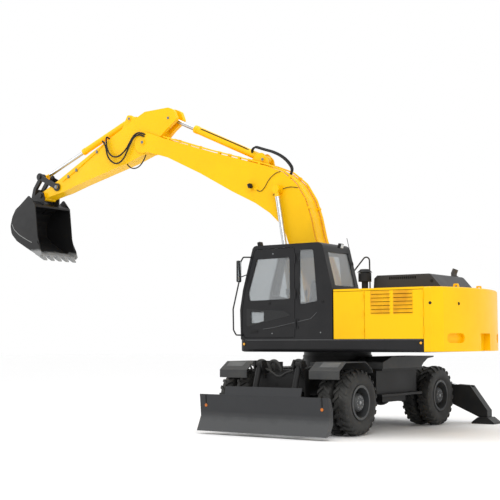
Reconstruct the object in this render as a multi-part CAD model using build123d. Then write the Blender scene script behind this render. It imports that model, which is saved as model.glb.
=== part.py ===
from build123d import *
import math
import os

os.makedirs("parts", exist_ok=True)

# A twenty-tonne wheeled excavator, parked with its outriggers down, its dozer
# blade just off the ground and its boom over the right-hand wheels.
#
# Units are millimetres and degrees. The upperstructure's frame is +X forward
# along the boom, +Y to the cab side and +Z up, about the swing axis on the
# ground. The undercarriage is built in a frame of its own, +X to the blade,
# and turned by UNDERCARRIAGE_TURN. Boom, arm and bucket are each built flat
# with their rear pin at the origin and +X towards their front pin, and then
# set at their resting angles.

# ---------------------------------------------------------------- driving sizes
UNDERCARRIAGE_TURN = 88.0  # from the boom's direction to the blade's
RUNNING_GAP = 0.5  # radial play of pins, spindles and glands
PANEL_GAP = 8.0  # between a door or lid and its frame
MOVING_GAP = 8.0  # beside a piece that swings between two plates
SEAT_GAP = 0.3  # between seated pieces of one body

# running gear
TYRE_DIAMETER = 1055.0
TYRE_WIDTH = 268.0
TWIN_SPACING = 300.0
RIM_DIAMETER = 508.0
TRACK = 1944.0  # between the middles of the two twin sets
FRONT_AXLE_X = 1295.0
REAR_AXLE_X = -1505.0
KINGPIN_INSET = 212.0  # from the middle of a twin set in to its kingpin
STEERING_ANGLE = 28.0
AXLE_Z = TYRE_DIAMETER / 2
TWIN_Y = TRACK / 2
KINGPIN_Y = TWIN_Y - KINGPIN_INSET

# chassis
CHASSIS_HALF_WIDTH = 350.0
CHASSIS_BOTTOM_Z = 680.0
CHASSIS_TOP_Z = 1030.0
CHASSIS_FRONT_X = 1740.0
CHASSIS_REAR_X = -2170.0
SIDE_HALF_WIDTH = 1235.0  # guards over the rear wheels
FENDER_INSIDE_Y = 612.0
FENDER_OUTSIDE_Y = 1172.0
SLEW_RING_DIAMETER = 1210.0
SLEW_TOP_Z = 1262.0

# dozer blade
BLADE_WIDTH = 2496.0
BLADE_BOTTOM_Z = 53.0
BLADE_TOP_Z = 643.0
BLADE_EDGE_X = 2376.0
BLADE_TOP_X = 2296.0
BLADE_PIVOT = (1650.0, 560.0)
BLADE_CYLINDER_TOP = (1800.0, 1130.0)
BLADE_CYLINDER_FOOT = (2030.0, 420.0)
BLADE_ARM_Y = 385.0

# outriggers, in the plane across the undercarriage
OUTRIGGER_X = -2290.0
OUTRIGGER_WIDTH = 200.0
OUTRIGGER_PIVOT = (600.0, 500.0)
OUTRIGGER_FOOT_Y = 1745.0
OUTRIGGER_CYLINDER_TOP = (470.0, 930.0)
OUTRIGGER_CYLINDER_EYE = (1380.0, 590.0)

# upperstructure
UPPER_HALF_WIDTH = 1240.0
DECK_BOTTOM_Z = 1323.0
DECK_TOP_Z = 1400.0
SKIRT_TOP_Z = 1528.0
SKIRT_WALL = 24.0
SKIRT_ROUND = 100.0  # of its lower front edge
SKIRT_SIDE_ROUND = 60.0  # and of its lower side edges
DECK_FRONT_X = 1240.0
BODY_TOP_Z = 2345.0
COUNTERWEIGHT_FRONT_X = -2245.0
COUNTERWEIGHT_BOTTOM_Z = 1335.0
TAIL_RADIUS = 2755.0
DOOR_SEAM_X = -1210.0
BODY_FRONT_X = -640.0

# cab
CAB_OUTER_Y = 1240.0
CAB_WALL = 55.0
CAB_BOTTOM_Z = SKIRT_TOP_Z + SEAT_GAP
CAB_TOP_Z = 3140.0
CAB_REAR_X = -618.0
CAB_FRONT_X = 1205.0
GLASS_THICKNESS = 6.0

# boom, arm and bucket
BOOM_Y = -50.0  # the digging gear stands a little to the right
BOOM_FOOT = (0.0, 1900.0)
BOOM_LENGTH = 5635.0
BOOM_WIDTH = 400.0
BOOM_ANGLE = 39.5  # of the pin line above level, at rest
ARM_LENGTH = 2932.0
ARM_WIDTH = 320.0
ARM_ANGLE = -17.2
BUCKET_WIDTH = 1150.0
BUCKET_EAR_INSIDE = 410.0

# hydraulic cylinders
BOOM_CYLINDER_TUBE = 70.0
CHEEK_THICKNESS = 30.0  # of the plates that hold the boom's foot
CYLINDER_EYE_HALF = 42.0
BOOM_CYLINDER_Y = BOOM_WIDTH / 2 + MOVING_GAP + CHEEK_THICKNESS + 5 + CYLINDER_EYE_HALF
CAB_INNER_Y = BOOM_Y + BOOM_CYLINDER_Y + BOOM_CYLINDER_TUBE + 13  # left of the boom's well
TANK_INNER_Y = BOOM_Y - BOOM_CYLINDER_Y - BOOM_CYLINDER_TUBE - 25  # and right of it
ARM_CYLINDER_TUBE = 74.0
BOOM_CYLINDER_FOOT = (640.0, 1440.0)
BOOM_CYLINDER_PIN = (2359.0, 1113.0)  # on the boom
ARM_CYLINDER_FOOT = (3060.0, 1330.0)  # on the boom
ARM_CYLINDER_PIN = (-690.0, 248.0)  # on the arm
BUCKET_CYLINDER_FOOT = (262.0, 654.0)  # on the arm
ROCKER_PIN = (2483.0, 28.0)  # on the arm
ROCKER_END = (2897.0, 431.0)  # on the arm's frame, at rest
BUCKET_LINK_PIN = (355.0, -125.0)  # on the bucket


# ---------------------------------------------------------------- small helpers
def turned(point, degrees):
    """A flat point turned about the origin."""
    c, s = math.cos(math.radians(degrees)), math.sin(math.radians(degrees))
    return (point[0] * c - point[1] * s, point[0] * s + point[1] * c)


def placed(point, origin, degrees):
    """A flat point of a piece whose origin and angle are given."""
    x, z = turned(point, degrees)
    return (origin[0] + x, origin[1] + z)


def block(x, y, z):
    """A box from three (low, high) pairs."""
    size = [high - low for low, high in (x, y, z)]
    middle = [(high + low) / 2 for low, high in (x, y, z)]
    return Pos(*middle) * Box(*size)


def slab(outline, y_low, y_high, radius=0):
    """A plate of an (x, z) outline, from one y to another. radius rounds every
    corner, or each corner in turn where it is a list."""
    if radius:
        wire = FilletPolyline(*outline, radius=radius, close=True)
    else:
        wire = Polyline(*outline, close=True)
    plane = Plane((0, y_high, 0), x_dir=(1, 0, 0), z_dir=(0, -1, 0))
    return extrude(plane * make_face(wire), amount=y_high - y_low)


def cross_slab(outline, x_low, x_high, radius=0):
    """A plate of a (y, z) outline, from one x to another."""
    if radius:
        wire = FilletPolyline(*outline, radius=radius, close=True)
    else:
        wire = Polyline(*outline, close=True)
    plane = Plane((x_low, 0, 0), x_dir=(0, 1, 0), z_dir=(1, 0, 0))
    return extrude(plane * make_face(wire), amount=x_high - x_low)


def floor_slab(outline, z_low, z_high, radius=0):
    """A plate of an (x, y) outline, from one z to another."""
    if radius:
        wire = FilletPolyline(*outline, radius=radius, close=True)
    else:
        wire = Polyline(*outline, close=True)
    return extrude(Plane.XY.offset(z_low) * make_face(wire), amount=z_high - z_low)


def shaft(start, end, radius):
    """A round bar between two points."""
    line = Vector(*end) - Vector(*start)
    bar = Plane(start, z_dir=line) * Cylinder(
        radius, line.length, align=(Align.CENTER, Align.CENTER, Align.MIN)
    )
    return bar


def cross_pin(point, y_low, y_high, radius):
    """A round bar along Y at a flat (x, z) point."""
    return shaft((point[0], y_low, point[1]), (point[0], y_high, point[1]), radius)


def mirrored(shape):
    """The same piece on the other side of the XZ plane."""
    return mirror(shape, about=Plane.XZ)


def fused(*pieces):
    """One solid from pieces that overlap."""
    whole = pieces[0]
    for piece in pieces[1:]:
        whole = whole + piece
    return whole


# ---------------------------------------------------------------- running gear
def tyre(y):
    """One tyre as a closed ring, with its crown, shoulders and bulging walls."""
    outer, bead = TYRE_DIAMETER / 2, RIM_DIAMETER / 2 + SEAT_GAP
    half = TYRE_WIDTH / 2
    section = Polyline(
        (y - half + 34, bead),
        (y - half + 34, bead + 28),
        (y - half + 8, bead + 64),
        (y - half, bead + 120),
        (y - half + 8, outer - 62),
        (y - half + 22, outer - 20),
        (y - 40, outer),
        (y + 40, outer),
        (y + half - 22, outer - 20),
        (y + half - 8, outer - 62),
        (y + half, bead + 120),
        (y + half - 8, bead + 64),
        (y + half - 34, bead + 28),
        (y + half - 34, bead),
        close=True,
    )
    plane = Plane.YZ
    return revolve(plane * make_face(section), axis=Axis.Y)


HUB_RADIUS = 148.0
SPINDLE_RADIUS = 72.0


def twin_rims(side):
    """Both rims of a twin set with their flanges, the shared disc between them
    and the planetary hub, bored from inside for the spindle."""
    inner, outer = TWIN_Y - TWIN_SPACING / 2, TWIN_Y + TWIN_SPACING / 2
    edge = RIM_DIAMETER / 2
    half = TYRE_WIDTH / 2 - 34
    lip = 14.0
    barrel = Polyline(
        (inner - half - lip, edge - 16),
        (inner - half - lip, edge + 22),
        (inner - half - 2, edge + 22),
        (inner - half - 2, edge),
        (outer + half + 2, edge),
        (outer + half + 2, edge + 22),
        (outer + half + lip, edge + 22),
        (outer + half + lip, edge - 16),
        (TWIN_Y + 60, edge - 16),
        (TWIN_Y + 20, edge - 60),
        (TWIN_Y + 20, HUB_RADIUS - 5),
        (TWIN_Y - 12, HUB_RADIUS - 5),
        (TWIN_Y - 12, edge - 60),
        (TWIN_Y - 30, edge - 16),
        close=True,
    )
    hub = Polyline(
        (KINGPIN_Y + 90, SPINDLE_RADIUS + RUNNING_GAP),
        (KINGPIN_Y + 90, HUB_RADIUS - 20),
        (TWIN_Y - 40, HUB_RADIUS),
        (outer + half - 50, HUB_RADIUS),
        (outer + half - 10, HUB_RADIUS - 30),
        (outer + half - 10, 0),
        (TWIN_Y + 60, 0),
        (TWIN_Y + 60, SPINDLE_RADIUS + RUNNING_GAP),
        close=True,
    )
    wheel = revolve(Plane.YZ * make_face(barrel), axis=Axis.Y) + revolve(
        Plane.YZ * make_face(hub), axis=Axis.Y
    )
    return wheel if side > 0 else mirrored(wheel)


def twin_tyres(side):
    """The two tyres of a twin set, which don't touch."""
    pair = [tyre(side * (TWIN_Y + step)) for step in (-TWIN_SPACING / 2, TWIN_SPACING / 2)]
    return Compound(children=pair)


def spindle(start_y, side):
    """The fixed stub that a hub turns on."""
    bar = shaft((0, start_y, 0), (0, TWIN_Y + 55, 0), SPINDLE_RADIUS)
    return bar if side > 0 else mirrored(bar)


KNUCKLE_HALF_HEIGHT = 128.0
LUG_THICKNESS = 40.0


def knuckle(side):
    """A steering knuckle: kingpin barrel, flange, spindle and steering lever."""
    kingpin = Pos(0, KINGPIN_Y, 0) * Cylinder(
        38, 2 * (KNUCKLE_HALF_HEIGHT + LUG_THICKNESS) + 20
    )
    barrel = Pos(0, KINGPIN_Y, 0) * Cylinder(82, 2 * KNUCKLE_HALF_HEIGHT)
    flange = shaft((0, KINGPIN_Y + 30, 0), (0, KINGPIN_Y + 84, 0), 112)
    lever = block((-200, -40), (KINGPIN_Y - 38, KINGPIN_Y + 12), (-24, 24))
    body = fused(kingpin, barrel, flange, lever, spindle(KINGPIN_Y, 1))
    return body if side > 0 else mirrored(body)


def front_axle():
    """The steered beam axle: differential bowl, tapered arms and the forks that
    hold the kingpins."""
    bowl = Sphere(205)
    cap = shaft((0, -150, 0), (0, 150, 0), 170)
    reach = KINGPIN_Y - 105
    arms = shaft((0, -reach, 0), (0, reach, 0), 92)
    pieces = [bowl, cap, arms]
    low = KNUCKLE_HALF_HEIGHT + 2
    high = low + LUG_THICKNESS - 4
    for side in (-1, 1):
        web = block((-70, 70), (reach - 60, reach + 10), (-high, high))
        upper = block((-70, 70), (reach - 60, KINGPIN_Y + 60), (low, high))
        lower = block((-70, 70), (reach - 60, KINGPIN_Y + 60), (-high, -low))
        bore = Pos(0, KINGPIN_Y, 0) * Cylinder(38 + RUNNING_GAP, 2 * high + 20)
        fork = fused(web, upper, lower) - bore
        pieces.append(fork if side > 0 else mirrored(fork))
    seat = CHASSIS_BOTTOM_Z - AXLE_Z - SEAT_GAP
    saddle = block((-170, 170), (-130, 130), (60, seat))
    pinion = shaft((-330, 0, 0), (-100, 0, 0), 95)
    beam = fused(*pieces, saddle, pinion) - block((-300, 300), (-300, 300), (seat, 400))
    return Pos(FRONT_AXLE_X, 0, AXLE_Z) * beam


def rear_axle():
    """The fixed rear axle: bowl, arms, brake housings and the spindles."""
    bowl = Sphere(215)
    reach = TWIN_Y - TWIN_SPACING / 2 - TYRE_WIDTH / 2 - 40
    arms = shaft((0, -reach, 0), (0, reach, 0), 100)
    pieces = [bowl, arms]
    for side in (-1, 1):
        housing = shaft((0, 380, 0), (0, KINGPIN_Y + 84, 0), 128)
        end = fused(housing, spindle(KINGPIN_Y, 1))
        pieces.append(end if side > 0 else mirrored(end))
    seat = CHASSIS_BOTTOM_Z - AXLE_Z - SEAT_GAP
    for y in (-250, 250):
        pieces.append(block((-130, 130), (y - 60, y + 60), (60, seat)))
    pieces.append(shaft((100, 0, 0), (330, 0, 0), 95))
    axle = fused(*pieces) - block((-300, 300), (-370, 370), (seat, 400))
    return Pos(REAR_AXLE_X, 0, AXLE_Z) * axle


def drive_shafts():
    """The gearbox with its motor, and a shaft from it to each axle."""
    gearbox = block((-260, 240), (-210, 210), (350, CHASSIS_BOTTOM_Z - SEAT_GAP))
    motor = shaft((240, 60, 560), (470, 60, 560), 90)
    front = shaft((230, 0, AXLE_Z), (FRONT_AXLE_X - 330, 0, AXLE_Z), 45)
    rear = shaft((REAR_AXLE_X + 330, 0, AXLE_Z), (-250, 0, AXLE_Z), 45)
    joints = [
        shaft((x, 0, AXLE_Z), (x + 90, 0, AXLE_Z), 78)
        for x in (240, FRONT_AXLE_X - 420, REAR_AXLE_X + 330, -350)
    ]
    return fused(gearbox, motor, front, rear, *joints)


# ---------------------------------------------------------------- chassis
def chassis_frame():
    """The welded box frame with the slewing pedestal, the front head that
    carries the blade and the rear member that carries the outriggers."""
    half = CHASSIS_HALF_WIDTH
    spine = slab(
        (
            (CHASSIS_REAR_X, CHASSIS_BOTTOM_Z),
            (CHASSIS_FRONT_X, CHASSIS_BOTTOM_Z),
            (CHASSIS_FRONT_X, CHASSIS_TOP_Z - 60),
            (CHASSIS_FRONT_X - 300, CHASSIS_TOP_Z),
            (CHASSIS_REAR_X, CHASSIS_TOP_Z),
        ),
        -half,
        half,
    )
    pedestal = Pos(0, 0, CHASSIS_TOP_Z - 10) * Cone(
        600, SLEW_RING_DIAMETER / 2 - 20, 170, align=(Align.CENTER, Align.CENTER, Align.MIN)
    )
    cross = block((-800, 600), (-620, 620), (CHASSIS_BOTTOM_Z + 60, CHASSIS_TOP_Z))
    head = block((1600, CHASSIS_FRONT_X), (-465, 465), (460, 980))
    pieces = [spine, pedestal, cross, head]
    for y in (-BLADE_ARM_Y, BLADE_ARM_Y):
        for step in (-88, 58):
            ear = slab(
                ((1660, 900), (1760, 900), (1860, 1080), (1860, 1190), (1740, 1190), (1660, 1000)),
                y + step,
                y + step + 30,
                20,
            )
            pieces.append(ear)
        pieces.append(cross_pin(BLADE_CYLINDER_TOP, y - 100, y + 100, 30))
    rear = block((CHASSIS_REAR_X - 5, CHASSIS_REAR_X + 120), (-640, 640), (420, 1010))
    plate_outline = ((-700, 400), (700, 400), (700, 620), (560, 1010), (-560, 1010), (-700, 620))
    half_gap = OUTRIGGER_WIDTH / 2 + MOVING_GAP
    front_plate = cross_slab(plate_outline, OUTRIGGER_X + half_gap, CHASSIS_REAR_X, 20)
    back_plate = cross_slab(plate_outline, OUTRIGGER_X - half_gap - 30, OUTRIGGER_X - half_gap, 20)
    core = block(
        (OUTRIGGER_X - half_gap - 10, CHASSIS_REAR_X), (-90, 90), (420, 1000)
    )
    pieces += [rear, front_plate, back_plate, core]
    for side in (-1, 1):
        for y, z in (OUTRIGGER_PIVOT, OUTRIGGER_CYLINDER_TOP):
            start = (OUTRIGGER_X - half_gap - 45, side * y, z)
            pieces.append(shaft(start, (OUTRIGGER_X + half_gap + 8, side * y, z), 32))
    frame = fused(*pieces)
    pivot_bore = cross_pin(BLADE_PIVOT, -620, 620, 36)
    slots = [
        block((1580, 1760), (y - 58, y + 58), (440, 700)) for y in (-BLADE_ARM_Y, BLADE_ARM_Y)
    ]
    frame = frame - pivot_bore - slots[0] - slots[1] + cross_pin(BLADE_PIVOT, -480, 480, 36)
    return frame


def slew_ring():
    """The slewing bearing on its pedestal, with its guard rim."""
    ring = Pos(0, 0, CHASSIS_TOP_Z + 160) * Cylinder(
        SLEW_RING_DIAMETER / 2, SLEW_TOP_Z - CHASSIS_TOP_Z - 160,
        align=(Align.CENTER, Align.CENTER, Align.MIN),
    )
    return ring


def fenders():
    """The two front fenders, which are steps with a sloping nose and a tail on a
    bracket each, and the guards over the rear wheels: the left one rises to the
    deck ahead of them as well."""
    skin = 14.0
    nose = ((1858, 905), (1858, 1035), (1650, 1172), (1035, 1172), (838, 1050), (800, 985))
    inner = ((1858 - skin, 905), (1858 - skin, 1028), (1645, 1172 - skin), (1040, 1172 - skin),
             (850, 1043), (814, 981))
    fender = slab(nose + tuple(reversed(inner)), FENDER_INSIDE_Y, FENDER_OUTSIDE_Y)
    low = CHASSIS_HALF_WIDTH + SEAT_GAP
    post = block((1180, 1420), (low, low + 30), (880, 1172 - skin))
    arm = block((1180, 1420), (low, FENDER_INSIDE_Y + 60), (1110, 1172 - skin + 1))
    guard_outline = (
        (560, 1046 + SEAT_GAP), (560, 1150), (230, 1240), (-1275, 1240), (-1275, 1218),
        (-1040, 1196), (-880, 1120), (-790, 1046 + SEAT_GAP),
    )
    guard = slab(guard_outline, 640, SIDE_HALF_WIDTH - 15)
    fender = fused(fender, post, arm)
    right_outline = (
        (-325, 1046 + SEAT_GAP), (-411, 1164), (-720, 1164), (-800, 1240), (-1275, 1240),
        (-1275, 1218), (-1040, 1196), (-880, 1120), (-790, 1046 + SEAT_GAP),
    )
    right_guard = slab(right_outline, -SIDE_HALF_WIDTH + 15, -640)
    return Compound(children=[fender, guard, mirrored(fender), right_guard])


def side_steps():
    """The tool box of each side between the wheels, with an upper and a lower
    tread standing out from it."""
    low, high = -850.0, 560.0
    box = block((low, high), (620 + SEAT_GAP, 1090), (590, 1045))
    upper = block((low, high), (1000, 1200), (1010, 1046))
    lower = block((low, high), (1000, 1200), (585, 622))
    hanger = block((low + 350, high - 250), (700, 1060), (480, 600))
    step = fused(box, upper, lower, hanger)
    return Compound(children=[step, mirrored(step)])


# ---------------------------------------------------------------- dozer blade
def blade():
    """The mouldboard with its rolled lower half, end plates, ribs, spill guard
    and the two push arms that hinge on the chassis head."""
    half = BLADE_WIDTH / 2
    fold = (BLADE_TOP_X - 30, BLADE_BOTTOM_Z + 240)
    skin = 22.0
    face = (
        (BLADE_EDGE_X, BLADE_BOTTOM_Z),
        fold,
        (BLADE_TOP_X, BLADE_TOP_Z),
        (BLADE_TOP_X - skin, BLADE_TOP_Z),
        (fold[0] - skin, fold[1]),
        (BLADE_EDGE_X - 2.2 * skin, BLADE_BOTTOM_Z),
    )
    board = slab(face, -half, half)
    rear_x = BLADE_TOP_X - 130
    rib_outline = (
        (BLADE_EDGE_X - skin, BLADE_BOTTOM_Z),
        (fold[0] - 2, fold[1]),
        (BLADE_TOP_X - 8, BLADE_TOP_Z),
        (rear_x + 60, BLADE_TOP_Z - 20),
        (rear_x, BLADE_TOP_Z - 200),
        (rear_x, BLADE_BOTTOM_Z + 180),
        (rear_x + 90, BLADE_BOTTOM_Z + 20),
    )
    pieces = [board]
    for y in (-half, -BLADE_ARM_Y - 80, -BLADE_ARM_Y + 60, BLADE_ARM_Y - 80, BLADE_ARM_Y + 60, half - 20):
        pieces.append(slab(rib_outline, y, y + 20))
    for z in (BLADE_BOTTOM_Z + 130, BLADE_TOP_Z - 140):
        pieces.append(block((rear_x + 10, fold[0] - 5), (-half + 10, half - 10), (z, z + 24)))
    guard_outline = (
        (BLADE_TOP_X, BLADE_TOP_Z - 10),
        (BLADE_TOP_X - 45, BLADE_TOP_Z + 135),
        (BLADE_TOP_X - 57, BLADE_TOP_Z + 135),
        (BLADE_TOP_X - 14, BLADE_TOP_Z - 10),
    )
    pieces.append(slab(guard_outline, -740, 740))
    for y in (-BLADE_ARM_Y, BLADE_ARM_Y):
        arm_outline = (
            (BLADE_PIVOT[0] - 65, BLADE_PIVOT[1] + 40),
            (BLADE_PIVOT[0] + 60, BLADE_PIVOT[1] + 62),
            (1900, 470),
            (2090, 480),
            (rear_x + 30, 520),
            (rear_x + 30, 200),
            (2000, 260),
            (BLADE_PIVOT[0] - 40, BLADE_PIVOT[1] - 60),
        )
        arm = slab(arm_outline, y - 50, y + 50, 15)
        slot = block((1930, 2120), (y - 32, y + 32), (330, 560))
        bore = cross_pin(BLADE_PIVOT, y - 60, y + 60, 36 + RUNNING_GAP)
        pieces.append(arm - slot - bore)
    return fused(*pieces)


# ---------------------------------------------------------------- cylinders
def cylinder_barrel(start, end, y, tube, length, eye_half):
    """A cylinder's tube from its foot eye towards end, with the gland at its
    mouth. Flat (x, z) points."""
    span = math.dist(start, end)
    way = ((end[0] - start[0]) / span, (end[1] - start[1]) / span)

    def at(distance):
        return (start[0] + way[0] * distance, y, start[1] + way[1] * distance)

    eye = cross_pin(start, y - eye_half, y + eye_half, tube * 1.05)
    neck = shaft(at(0), at(tube * 1.6), min(tube * 0.8, eye_half))
    wall = shaft(at(tube * 1.5), at(length), tube)
    gland = shaft(at(length - 70), at(length), tube * 1.07)
    return fused(eye, neck, wall, gland)


def rod_bore(start, end, y, first, last, radius):
    """A round bar along a cylinder's line between two distances from its foot."""
    span = math.dist(start, end)
    way = ((end[0] - start[0]) / span, (end[1] - start[1]) / span)
    points = [
        (start[0] + way[0] * far, y, start[1] + way[1] * far) for far in (first, last)
    ]
    return shaft(points[0], points[1], radius)


def hydraulic_cylinder(start, end, y, tube, rod, length, rod_start, eyes, pin_radius):
    """The barrel and the rod of a cylinder between two flat (x, z) pins. length
    is the barrel's, rod_start is how far from the foot the rod's inner end lies,
    eyes holds half the width of the foot's eye and of the rod's. The rod's eye
    is closed, with no pin through it."""
    span = math.dist(start, end)
    foot_half, rod_half = eyes
    barrel = cylinder_barrel(start, end, y, tube, length, foot_half)
    barrel -= rod_bore(start, end, y, tube * 1.9, length + 10, rod + RUNNING_GAP)
    reach = max(foot_half, tube) + 10
    barrel -= cross_pin(start, y - reach, y + reach, pin_radius + RUNNING_GAP)
    stem = rod_bore(start, end, y, rod_start, span, rod)
    eye = cross_pin(end, y - rod_half, y + rod_half, rod * 1.7)
    return barrel, fused(stem, eye)


# ---------------------------------------------------------------- outriggers
def outrigger_leg():
    """The left leg: a deep box that narrows to its foot, with the foot's pad on
    its pin. Drawn across the machine, y outwards."""
    foot_pin = (OUTRIGGER_FOOT_Y, 130.0)
    outline = (
        (OUTRIGGER_PIVOT[0] - 70, OUTRIGGER_PIVOT[1] - 45),
        (1107, 350),
        (1600, 140),
        (foot_pin[0] - 10, 78),
        (foot_pin[0] + 68, 120),
        (1815, 240),
        (1483, 685),
        (1207, 700),
        (OUTRIGGER_PIVOT[0] + 20, OUTRIGGER_PIVOT[1] + 75),
        (OUTRIGGER_PIVOT[0] - 70, OUTRIGGER_PIVOT[1] + 40),
    )
    low, high = OUTRIGGER_X - OUTRIGGER_WIDTH / 2, OUTRIGGER_X + OUTRIGGER_WIDTH / 2
    leg = cross_slab(outline, low, high, 18)
    channel = cross_slab(
        ((450, 640), (1130, 480), (1470, 480), (1520, 720), (450, 1000)), low + 42, high - 42
    )
    pivot = shaft(
        (low - 5, *OUTRIGGER_PIVOT), (high + 5, *OUTRIGGER_PIVOT), 32 + RUNNING_GAP
    )
    leg = leg - channel - pivot
    pad_top = cross_slab(
        (
            (OUTRIGGER_FOOT_Y - 215, 0),
            (OUTRIGGER_FOOT_Y + 215, 0),
            (OUTRIGGER_FOOT_Y + 215, 30),
            (OUTRIGGER_FOOT_Y + 95, 118),
            (OUTRIGGER_FOOT_Y - 95, 118),
            (OUTRIGGER_FOOT_Y - 215, 30),
        ),
        low - 60,
        high + 60,
    )
    return fused(leg, pad_top)


def outrigger_cylinder():
    """The left leg's cylinder, made flat and turned across the machine."""
    barrel, rod = hydraulic_cylinder(
        OUTRIGGER_CYLINDER_TOP, OUTRIGGER_CYLINDER_EYE, 0, 52, 30, 560, 440, (36, 36), 32
    )
    across = Pos(OUTRIGGER_X, 0, 0) * Rot(0, 0, 90)
    return across * barrel, across * rod


# ---------------------------------------------------------------- upperstructure
def swing_frame():
    """The revolving frame: deck, skirt round its edge, the upper slewing ring,
    and the two tall cheeks that hold the boom foot and its cylinders."""
    half = UPPER_HALF_WIDTH
    corner = 110.0
    wall = SKIRT_WALL
    notch_front = 540.0
    notch_right = TANK_INNER_Y
    notch_left = CAB_INNER_Y

    def plan(back, front, right, left, notch, notch_low, notch_high):
        return (
            (back, right), (front, right), (front, notch_low), (notch, notch_low),
            (notch, notch_high), (front, notch_high), (front, left), (back, left),
        )

    outline = plan(
        COUNTERWEIGHT_FRONT_X, DECK_FRONT_X, -half, half, notch_front, notch_right, notch_left
    )
    deck = floor_slab(
        outline, DECK_BOTTOM_Z, SKIRT_TOP_Z, [1, corner, 20, 40, 40, 20, corner, 1]
    )
    inside = plan(
        COUNTERWEIGHT_FRONT_X + wall, DECK_FRONT_X - wall, -half + wall, half - wall,
        notch_front - wall, notch_right - wall, notch_left + wall,
    )
    pocket = floor_slab(
        inside, DECK_TOP_Z, SKIRT_TOP_Z + 1,
        [2, corner - wall, 5, 50, 50, 5, corner - wall, 2],
    )
    ring = Pos(0, 0, SLEW_TOP_Z + SEAT_GAP) * Cylinder(
        SLEW_RING_DIAMETER / 2 - 15, DECK_BOTTOM_Z - SLEW_TOP_Z,
        align=(Align.CENTER, Align.CENTER, Align.MIN),
    )
    skirt = deck - pocket
    nose = (DECK_FRONT_X - SKIRT_ROUND, DECK_BOTTOM_Z + SKIRT_ROUND)
    rounding = block((nose[0], DECK_FRONT_X + 1), (-half - 1, half + 1), (DECK_BOTTOM_Z - 1, nose[1]))
    skirt -= rounding - cross_pin(nose, -half - 2, half + 2, SKIRT_ROUND)
    for side in (-1, 1):
        low, high = sorted((side * (half - SKIRT_SIDE_ROUND), side * (half + 1)))
        edge = block(
            (COUNTERWEIGHT_FRONT_X - 1, DECK_FRONT_X + 1), (low, high),
            (DECK_BOTTOM_Z - 1, DECK_BOTTOM_Z + SKIRT_SIDE_ROUND),
        )
        y, z = side * (half - SKIRT_SIDE_ROUND), DECK_BOTTOM_Z + SKIRT_SIDE_ROUND
        edge -= shaft((COUNTERWEIGHT_FRONT_X - 2, y, z), (DECK_FRONT_X + 2, y, z), SKIRT_SIDE_ROUND)
        skirt -= edge
    pieces = [skirt, ring]
    boss = 78.0
    cheek_outline = (
        (-640, DECK_TOP_Z - 20),
        (-120, 2060),
        (60, 2085),
        (170, 1950),
        (330, 1640),
        (500, 1525),
        (548, 1470),
        (BOOM_CYLINDER_FOOT[0], BOOM_CYLINDER_FOOT[1]),
        (704, 1392),
        (730, DECK_BOTTOM_Z + 15),
        (720, DECK_BOTTOM_Z),
        (-640, DECK_BOTTOM_Z),
    )
    inner = BOOM_WIDTH / 2 + MOVING_GAP
    thick = CHEEK_THICKNESS
    for side in (-1, 1):
        low = min(side * inner, side * (inner + thick)) + BOOM_Y
        pieces.append(slab(cheek_outline, low, low + thick, [20, 90, 90, 60, 80, 40, 10, 2, 5, 5, 5, 5]))
        pieces.append(cross_pin(BOOM_CYLINDER_FOOT, low, low + thick, boss))
        near = BOOM_Y + side * (inner + thick / 2)
        far = BOOM_Y + side * (BOOM_CYLINDER_Y + 58)
        pieces.append(cross_pin(BOOM_CYLINDER_FOOT, min(near, far), max(near, far), 42))
    reach = inner + thick + 15
    pieces.append(cross_pin(BOOM_FOOT, BOOM_Y - reach, BOOM_Y + reach, 55))
    pieces.append(block((-60, 700), (BOOM_Y - inner - 20, BOOM_Y + inner + 20), (DECK_BOTTOM_Z, 1345)))
    return fused(*pieces)


LIFTING_EYE = (-2458.0, 2372.0)  # x and z of each eye's hole
LIFTING_EYE_Y = 468.0


def counterweight():
    """The cast tail: round in plan about the swing axis, with soft corners, the
    two lifting eyes, a recess at the rear and an oval pocket on each side."""
    half = UPPER_HALF_WIDTH
    front = COUNTERWEIGHT_FRONT_X
    back = -TAIL_RADIUS
    shoulder_x = -math.sqrt(TAIL_RADIUS**2 - (half - 130) ** 2)
    arc = ThreePointArc((shoulder_x, half - 130), (back, 0), (shoulder_x, -half + 130))
    sides = Polyline(
        (shoulder_x, -half + 130),
        (shoulder_x + 150, -half),
        (front, -half),
        (front, half),
        (shoulder_x + 150, half),
        (shoulder_x, half - 130),
    )
    face = make_face(Curve() + [arc, sides])
    body = extrude(
        Plane.XY.offset(COUNTERWEIGHT_BOTTOM_Z) * face, amount=BODY_TOP_Z - COUNTERWEIGHT_BOTTOM_Z
    )
    top_edges = body.edges().group_by(Axis.Z)[-1].sort_by(Axis.X)[:-1]
    body = fillet(top_edges, 38)
    pieces = [body]
    eye_x, eye_z = LIFTING_EYE
    for y in (-LIFTING_EYE_Y, LIFTING_EYE_Y):
        outline = (
            (eye_x - 65, BODY_TOP_Z - 45), (eye_x + 65, BODY_TOP_Z - 45), (eye_x + 35, eye_z + 43),
            (eye_x - 35, eye_z + 43),
        )
        eye = slab(outline, y - 20, y + 20, 12) - cross_pin(LIFTING_EYE, y - 30, y + 30, 22)
        pieces.append(eye)
    whole = fused(*pieces)
    whole -= block((back - 10, back + 110), (-195, 195), (COUNTERWEIGHT_BOTTOM_Z - 1, 1620))
    oval = block((back - 10, back + 70), (-125, 125), (1469, 1619))
    for y in (-125, 125):
        oval += shaft((back - 10, y, 1544), (back + 70, y, 1544), 75)
    for turn in (-18.15, 18.15):
        whole -= Rot(0, 0, turn) * oval
    return whole


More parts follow.
